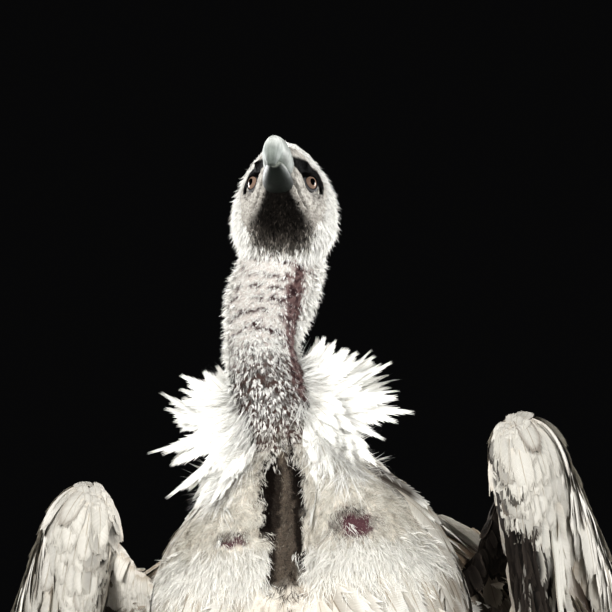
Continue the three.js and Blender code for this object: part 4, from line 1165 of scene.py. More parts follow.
# Short pale hairs on the cheeks, and dark bristles on the chin, throat and lores.
s = Sample(0.2, head * FACE * open_face * smooth(30, 4, F) * (1 - GAPE), 12)
cover(down, s, 2.0 + 1.6 * smooth(10, -8, s.f), 0.18, 0.8, (0.58, 0.55, 0.50), 0.25, strands=3, gather=0.9)
s = Sample(0.4, head * THROAT_MARK * smooth(38, 30, F), 13)
edge = np.abs(s.l) / np.interp(s.f, *THROAT)
grey = np.clip(smooth(20, -20, s.f) + 0.4 * smooth(0.6, 1.1, edge) * smooth(30, 10, s.f), 0, 1)[:, None]
low = np.exp(np.interp(grey, [0, 0.55, 1], np.log([0.004, 0.012, 0.16])))
high = np.exp(np.interp(grey, [0, 0.55, 1], np.log([0.04, 0.40, 0.9])))
colour = low * (high / low) ** (s.rng.random((s.count, 1)) ** mix(1.6, 0.8, grey))
colour = colour * mix(np.array([1.0, 0.84, 0.72]), np.array([1.0, 0.97, 0.9]), grey)
cover(down, s, 4.0 + 2.4 * smooth(20, -10, s.f), 0.38, 0.8, colour, strands=5, gather=0.55, wild=0.1,
      curl=0.1, close=0.7)
s = Sample(0.5, head * np.clip(BLACK_SKIN_AND_SHADE * 1.2, 0, 1) * smooth(36, 30, F), 14)
cover(down, s, 2.2, 0.16, 0.7, (0.0012, 0.001, 0.001), 0.3, strands=4, gather=0.9)

# The neck: white down all round behind, and rows of small tufts over bare skin in front.
front = smooth(100, 72, np.abs(OFF)) * smooth(15.6, 14.9, STATION)
covered = neck * (1 - NECK_BARE)
s = Sample(0.34, covered * (1 - front) * smooth(17, 16, STATION), 15)
cover(down, s, 6.5, 0.42, 0.66, BRIGHT, 0.05, gather=1.3, wild=0.2, close=0.5)
s = Sample(0.07, covered * smooth(45, 70, np.abs(OFF)), 17)
cover(down, s, 9.0, 0.8, 0.42, BRIGHT, 0.04, strands=6, gather=0.6, wild=0.2, close=0.8)
thick = neck * front * (1 - 0.95 * NECK_BARE) * (1 - 0.93 * GAPS) * smooth(11.9, 12.7, STATION)
s = Sample(0.36, thick, 18)
dark = (s.rng.random(s.count) < 0.07 * smooth(14.6, 13.5, s.x) + 0.5 * smooth(14.9, 15.5, s.x))[:, None]
colour = mix(shades(s.count, BRIGHT, s.rng, 0.05), (0.12, 0.085, 0.08), dark * 0.8)
cover(down, s, 4.6, 0.4, 0.74, colour, strands=7, gather=0.9, wild=0.18, curl=0.15, close=0.6)
s = Sample(0.36, neck * NECK_BARE, 19)  # short hairs across the bare strip
pale = (s.rng.random(s.count) < 0.5)[:, None]
colour = mix((0.10, 0.06, 0.065), shades(s.count, (0.8, 0.76, 0.74), s.rng, 0.15), pale)
cover(down, s, 2.8, 0.2, 0.7, colour, strands=3, gather=0.6, wild=0.3, close=0.8)
rng = dice(16)
for i, x in enumerate(np.arange(9.25, 13.3, 0.062)):
    around = np.arange(-104, 104, 4.0) + 2.0 * (i % 2)
    around = around + rng.normal(0, 1.2, len(around))
    xs = x + rng.normal(0, 0.022, len(around)) + 0.06 * np.sin(np.radians(around * 2.3 + 40 * x))
    at, normal, tu, _ = surface_frame(skin_place, xs, around, 0.05, 2.0)
    out = outward(normal, at - section(xs)[0][:, :3])
    bare = np.maximum.reduce([
        0.97 * neck_bare(xs, around), smooth(12.4, 13.2, xs), smooth(9.9, 9.3, xs),
        smooth(8, 4, np.abs(around + 3)) * smooth(10.1, 9.9, xs)])
    keep = rng.random(len(xs)) > bare
    at, out, way, xs, around = at[keep], out[keep], -tu[keep], xs[keep], around[keep]
    low = smooth(13.0, 12.0, xs) * smooth(9.6, 10.5, xs)
    patch = smooth(-0.5, 0.7, rough(at, 10, 7))
    dark = rng.random(len(xs)) < (0.30 + 0.42 * patch) * low
    colour = shades(len(xs), BRIGHT, rng, 0.06)
    colour = mix(colour, (0.035, 0.024, 0.02), (dark * rng.uniform(0.55, 1.0, len(xs)))[:, None])
    # The down turns greyish buff low on the neck, towards the ruff.
    greyer_near_ruff = smooth(11.2, 10.0, xs) * 0.7 * rng.uniform(0.5, 1, len(xs))
    colour = mix(colour, (0.46, 0.42, 0.36), greyer_near_ruff[:, None])
    tuft(down, at, out, way, 5.0 + 0.8 * low + 4 * smooth(10.4, 9.6, xs), 0.42, 0.74, colour,
         trunk_spots(xs, around), rng, strands=9, gather=0.95, wild=0.1, curl=0.08, close=0.82)
down.build()

# ---------------------------------------------------------------- crop

fluff = Coat("crop_down", DOWN, "down")
s = Sample(0.05, trunk * bell(STATION - 10.3, 0.22) * bell(OFF - 1, 11), 27)  # dark, where the strip starts
cover(fluff, s, 17, 0.32, 0.6, (0.02, 0.016, 0.013), 0.3, strands=6, gather=1.4, wild=0.16, close=0.5)
s = Sample(0.26, crop * lobe_share(STATION, OFF) * (1 - STRIP) * (1 - BARE_SKIN), 21)
wool = 0.5 + 0.5 * rough(s.at, 11, 4)
swirl = np.stack([rough(s.at, 16, seed) for seed in (51, 52, 53)], -1)
way = square(unit(lie(s) + 0.5 * swirl), s.normal)
colour = tones(s.count, (0.76, 0.735, 0.67), (smooth(0.45, 0.1, wool) * 0.7, (0.44, 0.40, 0.34)),
               (smooth(9.2, 10.0, s.x) * 0.4, (0.42, 0.38, 0.32)),
               # wool darkened by the painted shade round the bare marks
               (shaded_ring_share(s.x, s.off) * 0.7, (0.10, 0.07, 0.06)))
cover(fluff, s, 7.5, 0.4, 0.78, colour, None, way, strands=9, wild=0.2, curl=0.3, close=0.3)
s = Sample(0.30, crop * STRIP, 22)
ridge = bell(s.off + 2.5, 4.0) * 0.95 * s.rng.uniform(0.1, 1, s.count) ** 1.5
colour = tones(s.count, (0.010, 0.008, 0.007), (ridge, (0.38, 0.335, 0.28)))
cover(fluff, s, 5.0, 0.34, 0.88, colour, strands=6, gather=0.9, wild=0.12, curl=0.1)
rim = trunk * bell(STATION - RIM, 0.27) * smooth(76, 64, np.abs(OFF)) * smooth(6, 11, np.abs(OFF + 3))
s = Sample(0.2, rim, 23)
cover(fluff, s, 15, 0.5, 0.74, (0.92, 0.905, 0.86), 0.03, strands=12, gather=2.0, wild=0.2, curl=0.2,
      close=0.3)
s = Sample(0.05, trunk * bell(STATION - 6.95, 0.18) * bell(OFF + 3, 5), 26)
cover(fluff, s, 15, 0.4, 0.7, (0.03, 0.022, 0.018), 0.2, strands=6, gather=1.2, wild=0.25)
# Dark hairs in the painted shade round the bare marks.
s = Sample(0.3, crop * SHADED_RING, 24)
cover(fluff, s, 5, 0.3, 0.7, (0.02, 0.013, 0.012), 0.3, strands=5, gather=0.9)
s = Sample(0.16, crop * BARE_SKIN, 25)
light = (s.rng.random((s.count, 1)) < 0.35) * 0.8
colour = mix(shades(s.count, (0.20, 0.12, 0.13), s.rng, 0.3), (0.8, 0.76, 0.74), light)
cover(fluff, s, 2.6, 0.2, 0.5, colour, strands=3, gather=0.8)

# ---------------------------------------------------------------- ruff

RUFF_RISE = [-86, -80, -48, 12, 37, 47, 52, 55, 57]  # of its feathers, each 17 degrees from its opening on


def ruff_way(angle, lift):
    _, _, across, ventral = section(np.full(np.shape(angle), float(RUFF["station"])))
    a = np.radians(angle)
    out = unit((across * np.sin(a)[:, None] + ventral * np.cos(a)[:, None]) * [1, 1, 0])
    rise = np.radians(through(RUFF_RISE, (np.abs(off_front(angle)) - RUFF["open"]) / 17) + lift)
    return out * np.cos(rise)[:, None] + Z_AXIS * np.sin(rise)[:, None]


ruff = Coat("ruff", BODY, "down")
rng = dice(31)
for tier in range(8):
    count = 60 - 2 * tier
    around = np.linspace(RUFF["open"] - 5, 360 - RUFF["open"] + 5, count) + rng.normal(0, 2.2, count)
    off = np.abs(off_front(around))
    level = mix(9.7, 10.85, np.clip((off - RUFF["open"]) / 48, 0, 1))
    station = level + 0.1 * tier + rng.normal(0, 0.05, count)
    at = body_point(station, around, -coat_depth(station))
    around = around + 2.5 * np.sin(np.radians(around * 12 + 25 * tier))  # gathered in bundles
    lift = -10 + 4.5 * tier + 5 * np.sin(np.radians(around * 7 + 50 * tier)) + rng.normal(0, 4, count)
    right = off_front(around) < 0
    lift = lift + 2 * right * smooth(70, 50, off)
    along = unit(ruff_way(around, lift) + rng.normal(0, 0.06, (count, 3)))
    up = -unit(np.cross(square(ruff_way(around + 2, lift) - ruff_way(around - 2, lift), along), along))
    up = outward(up, Z_AXIS)
    long = RUFF["length"] * np.interp(off, [42, 52, 62, 74, 95, 180], [1.14, 1.0, 0.9, 0.92, 1.02, 0.95])
    long = long * (1 - 0.055 * tier) * rng.uniform(0.74, 1.06, count)
    long = long * np.where(right, 1 + 0.1 * smooth(64, 50, off), 1 - 0.1 * bell(off - 92, 16))
    base = shades(count, (0.88, 0.875, 0.84), rng, 0.04)
    edge = shades(count, (0.82, 0.80, 0.74), rng, 0.05)
    # Painted shade: brown edges on some front feathers stand for the shade between them.
    edge = mix(edge, (0.34, 0.28, 0.21), 0.6 * (smooth(75, 50, off) * (rng.random(count) < 0.4))[:, None])
    lay(ruff, LANCE_FORMS, at, along, up, long, rng.uniform(15, 22, count),
        plumage(base, edge, WHITE, 0.6, 0.8, 0.5), trunk_spots(station, around), rng,
        bend=rng.normal(0.08, 0.09, count), twist=rng.normal(0, 0.22, count))
ruff.build("ruff_left", "ruff_right", "ruff_back")
level = np.interp(np.abs(OFF), [RUFF["open"], RUFF["open"] + 48], [9.8, 11.1])
roll = trunk * smooth(RUFF["open"] - 10, RUFF["open"] + 4, np.abs(OFF)) * bell(STATION - level, 0.7)
s = Sample(0.15, roll, 32)  # a roll of down under the feathers
way = unit(ruff_way(s.off, s.rng.normal(4, 9, s.count)) + 0.25 * s.normal)
long = np.interp(np.abs(s.off), [42, 60, 90, 180], [38, 30, 32, 38])
cover(fluff, s, long, 0.6, 0.84, BRIGHT, 0.03, way, strands=14, gather=2.6, wild=0.22, curl=0.1, close=0.25)
fluff.build()

# ---------------------------------------------------------------- body feathers


def stand(at, centre, normal, way, lift, rng, wild):
    """The ways along and up of feathers at places, raised a little off the surface under them."""
    up = outward(normal, at - centre)
    along = unit(way + up * lift + rng.normal(0, wild, (len(at), 3)))
    return along, square(up, along)


def under_coat(x, angle):
    return body_point(x, angle, -coat_depth(x) - 1.0)


body = Coat("body_feathers", BODY, "body_plumage")
rng = dice(41)
x, row = 0.35, 0
while x < 9.9:
    girth = 2 * math.pi * math.sqrt((through(SPINE, x)[3] ** 2 + through(SPINE, x)[4] ** 2) / 2)
    count = int(girth / 11.5)
    angle = (np.arange(count) + 0.5 * (row % 2)) * 360 / count + rng.normal(0, 1.2, count)
    off, xs = off_front(angle), x + rng.normal(0, 0.03, count)
    keep = (lobe_share(xs + 0.02, off) < 0.5) & ~((np.abs(off + 3) < 10) & (xs > 6.85))
    angle, off, xs, n = angle[keep], off[keep], xs[keep], keep.sum()
    x, row = x + 0.22, row + 1
    if not n:
        continue
    at, normal, tu, tv = surface_frame(under_coat, xs, angle, 0.05, 2.0)
    round_by = np.abs(off)
    back = smooth(80, 120, round_by)
    part = 0.42 * np.sign(off) * smooth(0, 25, round_by) * smooth(110, 60, round_by) * smooth(4.5, 6.5, xs)
    way = -tu + tv * part[:, None]  # they part in the middle
    along, up = stand(at, section(xs)[0][:, :3], normal, way, mix(0.07, 0.08, back)[:, None], rng, 0.07)
    long = mix(56, 48, back) * np.interp(xs, [0, 1.5, 3, 7, 8.5, 10], [0.6, 0.85, 1, 1, 0.9, 0.75])
    long = long * rng.uniform(0.8, 1.15, n)
    streaked = (rng.random(n) < 0.5)[:, None] * rng.uniform(0.2, 0.9, (n, 1))
    base = mix(shades(n, (0.55, 0.525, 0.47), rng, 0.07), (0.30, 0.265, 0.22), streaked)
    # Painted shade: feathers darker towards the bird's left flank, where the light falls off.
    painted_flank_shade = smooth(26, 70, off) * smooth(3, 5, xs) * rng.uniform(0.1, 0.9, n)
    base = mix(base, (0.30, 0.26, 0.21), painted_flank_shade[:, None])
    # Painted shade low on the bird's left side of the breast, with a patch of dark feathers at the base of
    # the neck.
    shade_and_dark_spot = smooth(58, 76, off) * smooth(8.2, 6.8, xs) * smooth(3.5, 5, xs) * rng.uniform(0.3, 0.95, n)
    spot = smooth(14, 8, np.abs(off - 66)) * smooth(0.7, 0.35, np.abs(xs - 9.2))
    shade_and_dark_spot = np.maximum(shade_and_dark_spot, spot * (rng.random(n) < 0.8) * 0.97)
    base = mix(base, (0.035, 0.026, 0.02), shade_and_dark_spot[:, None])
    base = mix(base, shades(n, (0.22, 0.165, 0.12), rng, 0.2), (0.85 * back)[:, None])
    edge = shades(n, (0.74, 0.725, 0.675), rng, 0.07)
    edge = mix(edge, shades(n, (0.55, 0.47, 0.37), rng, 0.12), back[:, None])
    rounded = (np.abs(off - 50) < 42) & (xs < 8.2) & (rng.random(n) < 0.8)
    base = mix(base, (0.40, 0.37, 0.32), (rounded * rng.uniform(0, 0.8, n))[:, None])
    bend = hug(at, along, up, long) + rng.normal(0, 0.02, n) + 0.05 * rounded
    wide = rng.uniform(23, 31, n) + 3 * rounded
    for forms, m in ((BREAST_FORMS, ~rounded), (BODY_FORMS, rounded)):
        if m.any():
            lay(body, forms, at[m], along[m], up[m], long[m], wide[m],
                plumage(base[m], edge[m], CREAM, 0.35, 0.66, 0.9),
                trunk_spots(xs[m], angle[m]), rng, bend=bend[m], lift=1.0, twist=rng.normal(0, 0.2, m.sum()))


def thigh_place(side):
    path = mirrored(THIGH, side)

    def place(t, a):
        t, a = np.broadcast_arrays(np.asarray(t, float), np.asarray(a, float))
        run = unit(heading(path, t * 4))
        across = unit(X_AXIS - run * run[..., :1])
        wide, deep = np.moveaxis(through(THIGH_RADII, t * 4) - 6, -1, 0)
        aside = across * (wide * np.cos(np.radians(a)))[..., None]
        ahead = np.cross(run, across) * (deep * np.sin(np.radians(a)))[..., None]
        return through(path, t * 4) + aside + ahead

    return place


for side in SIDES.values():
    t, row = 0.06, 0
    while t < 0.985:
        count = max(7, int(2 * math.pi * through(THIGH_RADII, t * 4).mean() / 10.5))
        a = (np.arange(count) + 0.5 * (row % 2)) * 360 / count + rng.normal(0, 2, count)
        ts = np.clip(t + rng.normal(0, 0.006, count), 0, 1)
        at, normal, tu, _ = surface_frame(thigh_place(side), ts, a, 0.01, 3.0)
        along, up = stand(at, through(mirrored(THIGH, side), ts * 4), normal, tu, 0.08, rng, 0.06)
        size = np.interp(t, [0, 0.5, 0.9, 1], [38, 32, 20, 14])
        base = shades(count, (0.56, 0.51, 0.43), rng, 0.12)
        edge = shades(count, (0.74, 0.70, 0.63), rng, 0.06)
        lay(body, BREAST_FORMS, at, along, up, size * rng.uniform(0.85, 1.1, count), size * 0.55,
            plumage(base, edge, WHITE, 0.5, 0.72, 0.8), limb_spots(at), rng,
            bend=hug(at, along, up, size), lift=0.8)
        t, row = t + 0.034, row + 1

# The upper arms, and the webs of skin before them, of which the right one is pale and the left one dark.
s = Sample(0.05 / SHARE, np.where(ON_WEB, 1.0, 0.28 * ON_ARM), 45)
rng, n = s.rng, s.count
side = np.sign(s.at[:, :1])
way = unit(np.concatenate([side * 0.22, np.full((n, 1), 0.75), np.full((n, 1), -0.72)], 1))
along = unit(square(way, s.normal) + s.normal * 0.04 + rng.normal(0, 0.05, (n, 3)))
up = square(s.normal, along)
top = smooth(-0.1, 0.5, up[:, 2])[:, None]
web = ON_WEB[s.vertex][:, None]
light = web & (side < 0)
base = mix(shades(n, (0.12, 0.10, 0.08), rng, 0.3), shades(n, (0.26, 0.20, 0.145), rng, 0.2), 0.8 * top)
base = np.where(web, shades(n, (0.014, 0.011, 0.009), rng, 0.2), base)
base = np.where(light, shades(n, (0.68, 0.65, 0.59), rng, 0.03), base)
edge = shades(n, (0.04, 0.032, 0.026), rng, 0.3)
on_arm = mix(shades(n, (0.24, 0.21, 0.17), rng, 0.2), shades(n, (0.50, 0.45, 0.38), rng, 0.12), top)
edge = np.where(web, edge, on_arm)
edge = np.where(light, shades(n, (0.66, 0.63, 0.57), rng, 0.03), edge)
size = np.where(web[:, 0], 17.0, 36.0)
lay(body, COVERT_FORMS, s.at, along, up, size * rng.uniform(0.8, 1.15, n), size * 0.6,
    plumage(base, edge, BUFF, 0.4, 0.7, 0.85), limb_spots(s.at), rng,
    bend=hug(s.at, along, up, size), lift=0.6)
body.build()

# ---------------------------------------------------------------- wings

FLIGHT_SHAPE = [[0, 0.35], [0.15, 0.85], [0.4, 1], [0.8, 0.92], [0.92, 0.72], [0.98, 0.4], [1, 0.12]]
FINGER_SHAPE = [[0, 0.35], [0.12, 0.8], [0.3, 1], [0.48, 0.95], [0.6, 0.66], [0.8, 0.52], [0.94, 0.34],
                [1, 0.08]]


def blade(rows, outline, thick, seed):
    """A stiff vane with two faces: share of the length, side, height, share of the width, and triangles."""
    rng = dice(seed)
    columns = np.array([-1, -0.72, -0.4, -0.08, 0.0, 0.08, 0.4, 0.72, 1.0])
    c = len(columns)
    n = (rows + 1) * c
    s = (np.linspace(0, 1, rows + 1) ** 0.9)[:, None]
    notched = np.zeros((rows + 1, c))
    for _ in range(3):
        at, side = rng.integers(rows // 3, rows - 1), rng.choice([0, c - 1])
        notched[at, side] = rng.uniform(0.1, 0.3)
        notched[at, abs(side - 1)] = notched[at, side] * 0.4
    y = np.interp(s, *np.array(outline).T) * columns * (1 - notched)
    forward = s + 0.035 * np.abs(columns) * (s > 0.03) * (s < 0.97)
    top = thick / 2 + np.where(np.abs(columns) < 0.1, 1.5, 0) * (1 - 0.75 * s)
    i, j = np.meshgrid(np.arange(rows), np.arange(c - 1), indexing="ij")
    a, r, e = (i * c + j).ravel(), np.arange(rows) * c, np.arange(c - 1)
    last, end = r + c - 1, e + rows * c
    quads = [(a, a + 1, a + 1 + c, a + c), (a + n, a + c + n, a + 1 + c + n, a + 1 + n),
             (r, r + c, r + c + n, r + n), (last, last + n, last + c + n, last + c),
             (e, e + n, e + 1 + n, e + 1), (end, end + 1, end + 1 + n, end + n)]
    faces = halves(np.concatenate([np.stack(corners, 1) for corners in quads]))
    return (np.tile(forward.ravel(), 2), np.tile(y.ravel(), 2), np.append(top.ravel(), -top.ravel()),
            np.tile(columns, 2 * (rows + 1)), faces)


def add_vane(coat, points, faces, s, side, length, tone, i, count, corner, size):
    """Feather i of a row of count. Each has a strip of its own on the map, between a corner and its size."""
    across = corner[0] + size[0] * (i + 0.5 + 0.42 * side) / count
    spots = np.stack([across, corner[1] + size[1] * np.clip(s, 0, 1.04) / 1.05], -1)
    grain = np.stack([s, side, np.full(len(s), float(length))], -1)
    coat.add(points[None], faces, tone(s, side, i, count)[None], spots[None], grain[None])


def stiff_row(coat, place, feathers, heights, fall, tone, corner, size, seed, rows=10, thick=0.6):
    """A row of flight feathers or large coverts in a wing's plane, like the rows of the part's source."""
    count = len(feathers)
    for i, (root, angle, length, left, right, outline) in enumerate(feathers):
        s, y, h, side, faces = blade(rows, outline, thick, seed + i)
        sin, cos = math.sin(math.radians(angle)), math.cos(math.radians(angle))
        along, wide = s * length, np.where(y < 0, left, right) * y
        height = mix(*heights, i / (count - 1)) + mix(*fall, np.sqrt(np.clip(s, 0, 1)))
        camber = 3.5 * (1 - side**2) * np.interp(s, [0, 0.2, 1], [0, 1, 0.6])
        points = place(root[0] + sin * along + cos * wide, root[1] + cos * along - sin * wide,
                       height + h + camber * 0.5)
        add_vane(coat, points, faces, s, side, length, tone, i, count, corner, size)


def row_of(count, root, angle, length, left, right):
    """Feathers whose root, angle and length each run from one value to another."""
    return [(mix(*np.array(root, float), t), mix(*angle, t), mix(*length, t), left, right, FLIGHT_SHAPE)
            for t in np.linspace(0, 1, count)]


def arm_row(count, length):
    """Large coverts of the forearm."""
    return row_of(count, (ELBOW * 0.04 + [-2.64, 5.4], ELBOW + [-2.64, 5.4]), (30, 50), length, 17, 17)


def flights():
    """The flight feathers of the hand, of which the outer six are fingered, and of the forearm."""
    rows = []
    for i, long in enumerate([372, 446, 464, 448, 414, 380, 346, 328, 321, 318]):
        t = i / 9
        form = (13, 27, FINGER_SHAPE) if i < 6 else (17, 28, FLIGHT_SHAPE)
        rows.append(([mix(FINGER[0] * 0.98, 8, t), mix(FINGER[1], 24, t)], mix(19, 35, t), long, *form))
    return rows + row_of(18, ((16, 12), ELBOW), (36, 49), (318, 272), 17, 26)


# Tones of feather i of a row of count, at shares of its length and half width.


def dark_flight(s, side, i, count):
    base = mix(np.array([0.016, 0.013, 0.011]), (0.034, 0.026, 0.021), i / count)
    return tones(len(s), base, (smooth(0.2, 0.9, side) * 0.5, (0.06, 0.05, 0.042)),
                 (smooth(0.9, 1.0, s), (0.08, 0.062, 0.048)))


def greater_tone(s, side, i, count):
    base = mix(np.array([0.30, 0.265, 0.215]), (0.06, 0.043, 0.033), smooth(0, 0.35, i / count))
    return mix(base, (0.46, 0.42, 0.35), rim_share(s, side, 0.62, 0.88) * 0.9)


def thumb_tone(s, side, i, count):
    return np.array([0.50, 0.48, 0.43]) - np.array([0.2, 0.2, 0.19]) * rim_share(s, side, 0.7, 0.9)


def hand_tone(s, side, i, count):
    """The coverts of the hand: nearly black, with a narrow pale edge."""
    rim = np.maximum(smooth(0.88, 1, np.abs(side)) * 0.6, smooth(0.94, 1.0, s) * 0.7)[:, None]
    return np.array([0.009, 0.0075, 0.0065]) + np.array([0.26, 0.22, 0.18]) * rim


def median_tone(s, side, i, count):
    rim = np.maximum(smooth(0.5, 1, np.abs(side)), smooth(0.8, 0.97, s))
    return tones(len(s), (0.52, 0.45, 0.36), (rim, (0.70, 0.65, 0.56)),
                 (smooth(0.75, 0.3, s) * 0.5, (0.26, 0.2, 0.15)))


# Along the wing's bones, from the tip of the finger over the wrist to the elbow.
BONE = np.array([FINGER + [4, 12], FINGER, [36, 128], [18, 66], [2, 8], [40, 20], [100, 49], [165, 81], ELBOW,
                 ELBOW + [14, 6]], float)
BONE_HALF = [7, 12, 21, 27, 29, 36, 38, 36, 32, 14]  # from the bone to the leading edge
BONE_THICK = [5, 7, 13, 20, 26, 26, 25, 22, 20, 12]
BONE_HEIGHT = [-9, -9, -6, -2, 1, 3, 6, 9, 11, 11]
BONE_TURN = [16, 18, 21, 25, 31, 36, 40, 44, 49, 52]  # the way coverts point, degrees from down to the back
BONE_FLIGHT = [-9, -9, -6, -3, 1, 3, 6, 9, 12, 12]  # height of the flight feathers' plane
BONE_LAST = len(BONE) - 1


def covert_run(v):
    turn = np.radians(through(BONE_TURN, v))
    return np.stack([np.sin(turn), np.cos(turn)], -1)


def wing_spot(v, d):
    """Back and down in the wing's plane. d is in mm behind the bone, along the coverts, or below 0 a turn
    round the limb, where -1 is its leading edge and -2 its other face."""
    tangent = unit(heading(BONE, v, 0.25))
    edge_way = np.stack([-tangent[..., 1], tangent[..., 0]], -1)
    ahead = through(BONE_HALF, v) * np.sin(np.minimum(d, 0) * math.pi / 2)
    return through(BONE, v) + edge_way * ahead[..., None] + covert_run(v) * np.maximum(d, 0)[..., None]


def wing_surface(place, over=1):
    """The feathered surface of the wing: v runs along the bones, d as in wing_spot. over is -1 underneath."""

    def point(v, d):
        v, d = np.broadcast_arrays(np.asarray(v, float), np.asarray(d, float))
        thick, middle = through(BONE_THICK, v), through(BONE_HEIGHT, v)
        flight = through(BONE_FLIGHT, v) + over * 3.0 - middle
        behind = flight + (over * thick - flight) * smooth(95, 10, np.maximum(d, 0))
        height = middle + np.where(d < 0, over * thick * np.cos(np.minimum(d, 0) * math.pi / 2), behind)
        spot = wing_spot(v, d)
        return place(spot[..., 0], spot[..., 1], height)

    return point


def stations(d, spacing, low, high):
    """Stations along the bones, evenly spaced in mm."""
    v = np.linspace(low, high, 400)
    p = wing_spot(v, np.full(400, float(d)))
    length = np.concatenate([[0], np.cumsum(np.linalg.norm(np.diff(p, axis=0), axis=1))])
    return np.interp(np.arange(spacing / 2, length[-1], spacing), length, v)


# Rows of small coverts, first those round the leading edge: d as in wing_spot, length, spacing, and the
# first and last station along the bones.
UPPER_ROWS = [(-turn, 22 + 22 * (1.65 - turn) / 1.5, 8.5 + 5 * (1.65 - turn) / 1.5, 0.5, 8.9)
              for turn in np.arange(1.65, 0.1, -0.15)]
UPPER_ROWS += [(3, 46, 15, 1.0, 9.0), (13, 50, 16, 1.4, 9.0), (23, 55, 17, 2.2, 9.0), (34, 60, 18, 3.2, 9.0)]
UNDER_ROWS = [(-0.40, 28, 13, 0.7, 8.9), (-0.15, 34, 14, 0.9, 8.9), (14, 44, 15, 1.2, 8.9),
              (32, 60, 17, 2.0, 8.9), (52, 90, 20, 3.2, 8.9)]


def wing_quills(name):
    """Flight feathers and large coverts."""
    place = wing_place(name)
    tip, wrist, elbow = FLIGHT_HEIGHT
    quills = Coat(f"wing_{name}_quills", FLIGHT, "wing_feathers")
    stiff_row(quills, place, flights(), (tip, elbow), (0, 0), dark_flight, (0.01, 0.02), (0.96, 0.5), 100,
              rows=18, thick=0.8)
    hand = row_of(10, (FINGER * 0.9, (6, 20)), (18, 32), (105, 130), 12, 18)
    thumb = row_of(4, ((10, 34), (18, 26)), (11, 17), (112, 84), 8, 11)
    for feathers, heights, fall, tone, corner, wide, seed in (
            (hand, (tip + 4, wrist + 4), (6, 3), hand_tone, (0.01, 0.54), 0.4, 200),
            (thumb, (wrist + 4, wrist + 6), (14, 12), thumb_tone, (0.43, 0.54), 0.2, 230),
            (arm_row(20, (134, 124)), (wrist + 4, elbow + 4), (5, 3), greater_tone, (0.01, 0.76), 0.48, 250),
            (arm_row(18, (104, 98)), (wrist - 6, elbow - 6), (-5, -3), median_tone, (0.51, 0.76), 0.45, 280)):
        stiff_row(quills, place, feathers, heights, fall, tone, corner, (wide, 0.2), seed)
    quills.build(f"wing_{name}")


def covert_tones(side, over, v, d, rng):
    """Base and edge colours of small coverts, dark at the wrist and along the hand's leading edge."""
    n = len(v)
    if over < 0:
        front = smooth(5, -0.1, d) * smooth(3.5, 2.9, v)
        pale, dark = shades(n, (0.52, 0.49, 0.44), rng, 0.08), shades(n, (0.03, 0.022, 0.018), rng, 0.25)
        base = mix(pale, dark, (front * (rng.random(n) < 0.85))[:, None])
        pale, dark = shades(n, (0.50, 0.45, 0.38), rng, 0.12), shades(n, (0.055, 0.043, 0.034), rng, 0.3)
        return base, mix(pale, dark, (front * 0.95)[:, None])
    bounds = [3.9, 3.45, 2.5, 2.2] if side > 0 else [2.2, 1.6, 1.2, 1.0]
    bound = np.interp(d, [-1.3, -0.9, -0.2, 30], bounds)
    hand = np.maximum(smooth(bound + 0.2, bound - 0.3, v + rng.normal(0, 0.22, n)), 0)
    margin = smooth(0.95, 1.15, -d) * (rng.random(n) < 0.6) * rng.uniform(0.85, 1.0, n) * smooth(4.1, 3.7, v)
    pale, brown = shades(n, (0.52, 0.50, 0.455), rng, 0.06), shades(n, (0.36, 0.30, 0.235), rng, 0.2)
    base = mix(pale, brown, (smooth(0, 45, d) ** 2)[:, None])
    black = shades(n, (0.008, 0.0065, 0.0055), rng, 0.25)
    base = mix(base, black, np.clip(np.maximum(hand, margin), 0, 1)[:, None])
    marked = (rng.random(n) < 0.2)[:, None] * rng.uniform(0.2, 0.9, (n, 1))
    edge = mix(shades(n, (0.46, 0.435, 0.385), rng, 0.06), (0.13, 0.10, 0.075), marked)
    black = shades(n, (0.035, 0.028, 0.023), rng, 0.3)
    return base, mix(edge, black, (hand * (rng.random(n) < 0.85))[:, None])


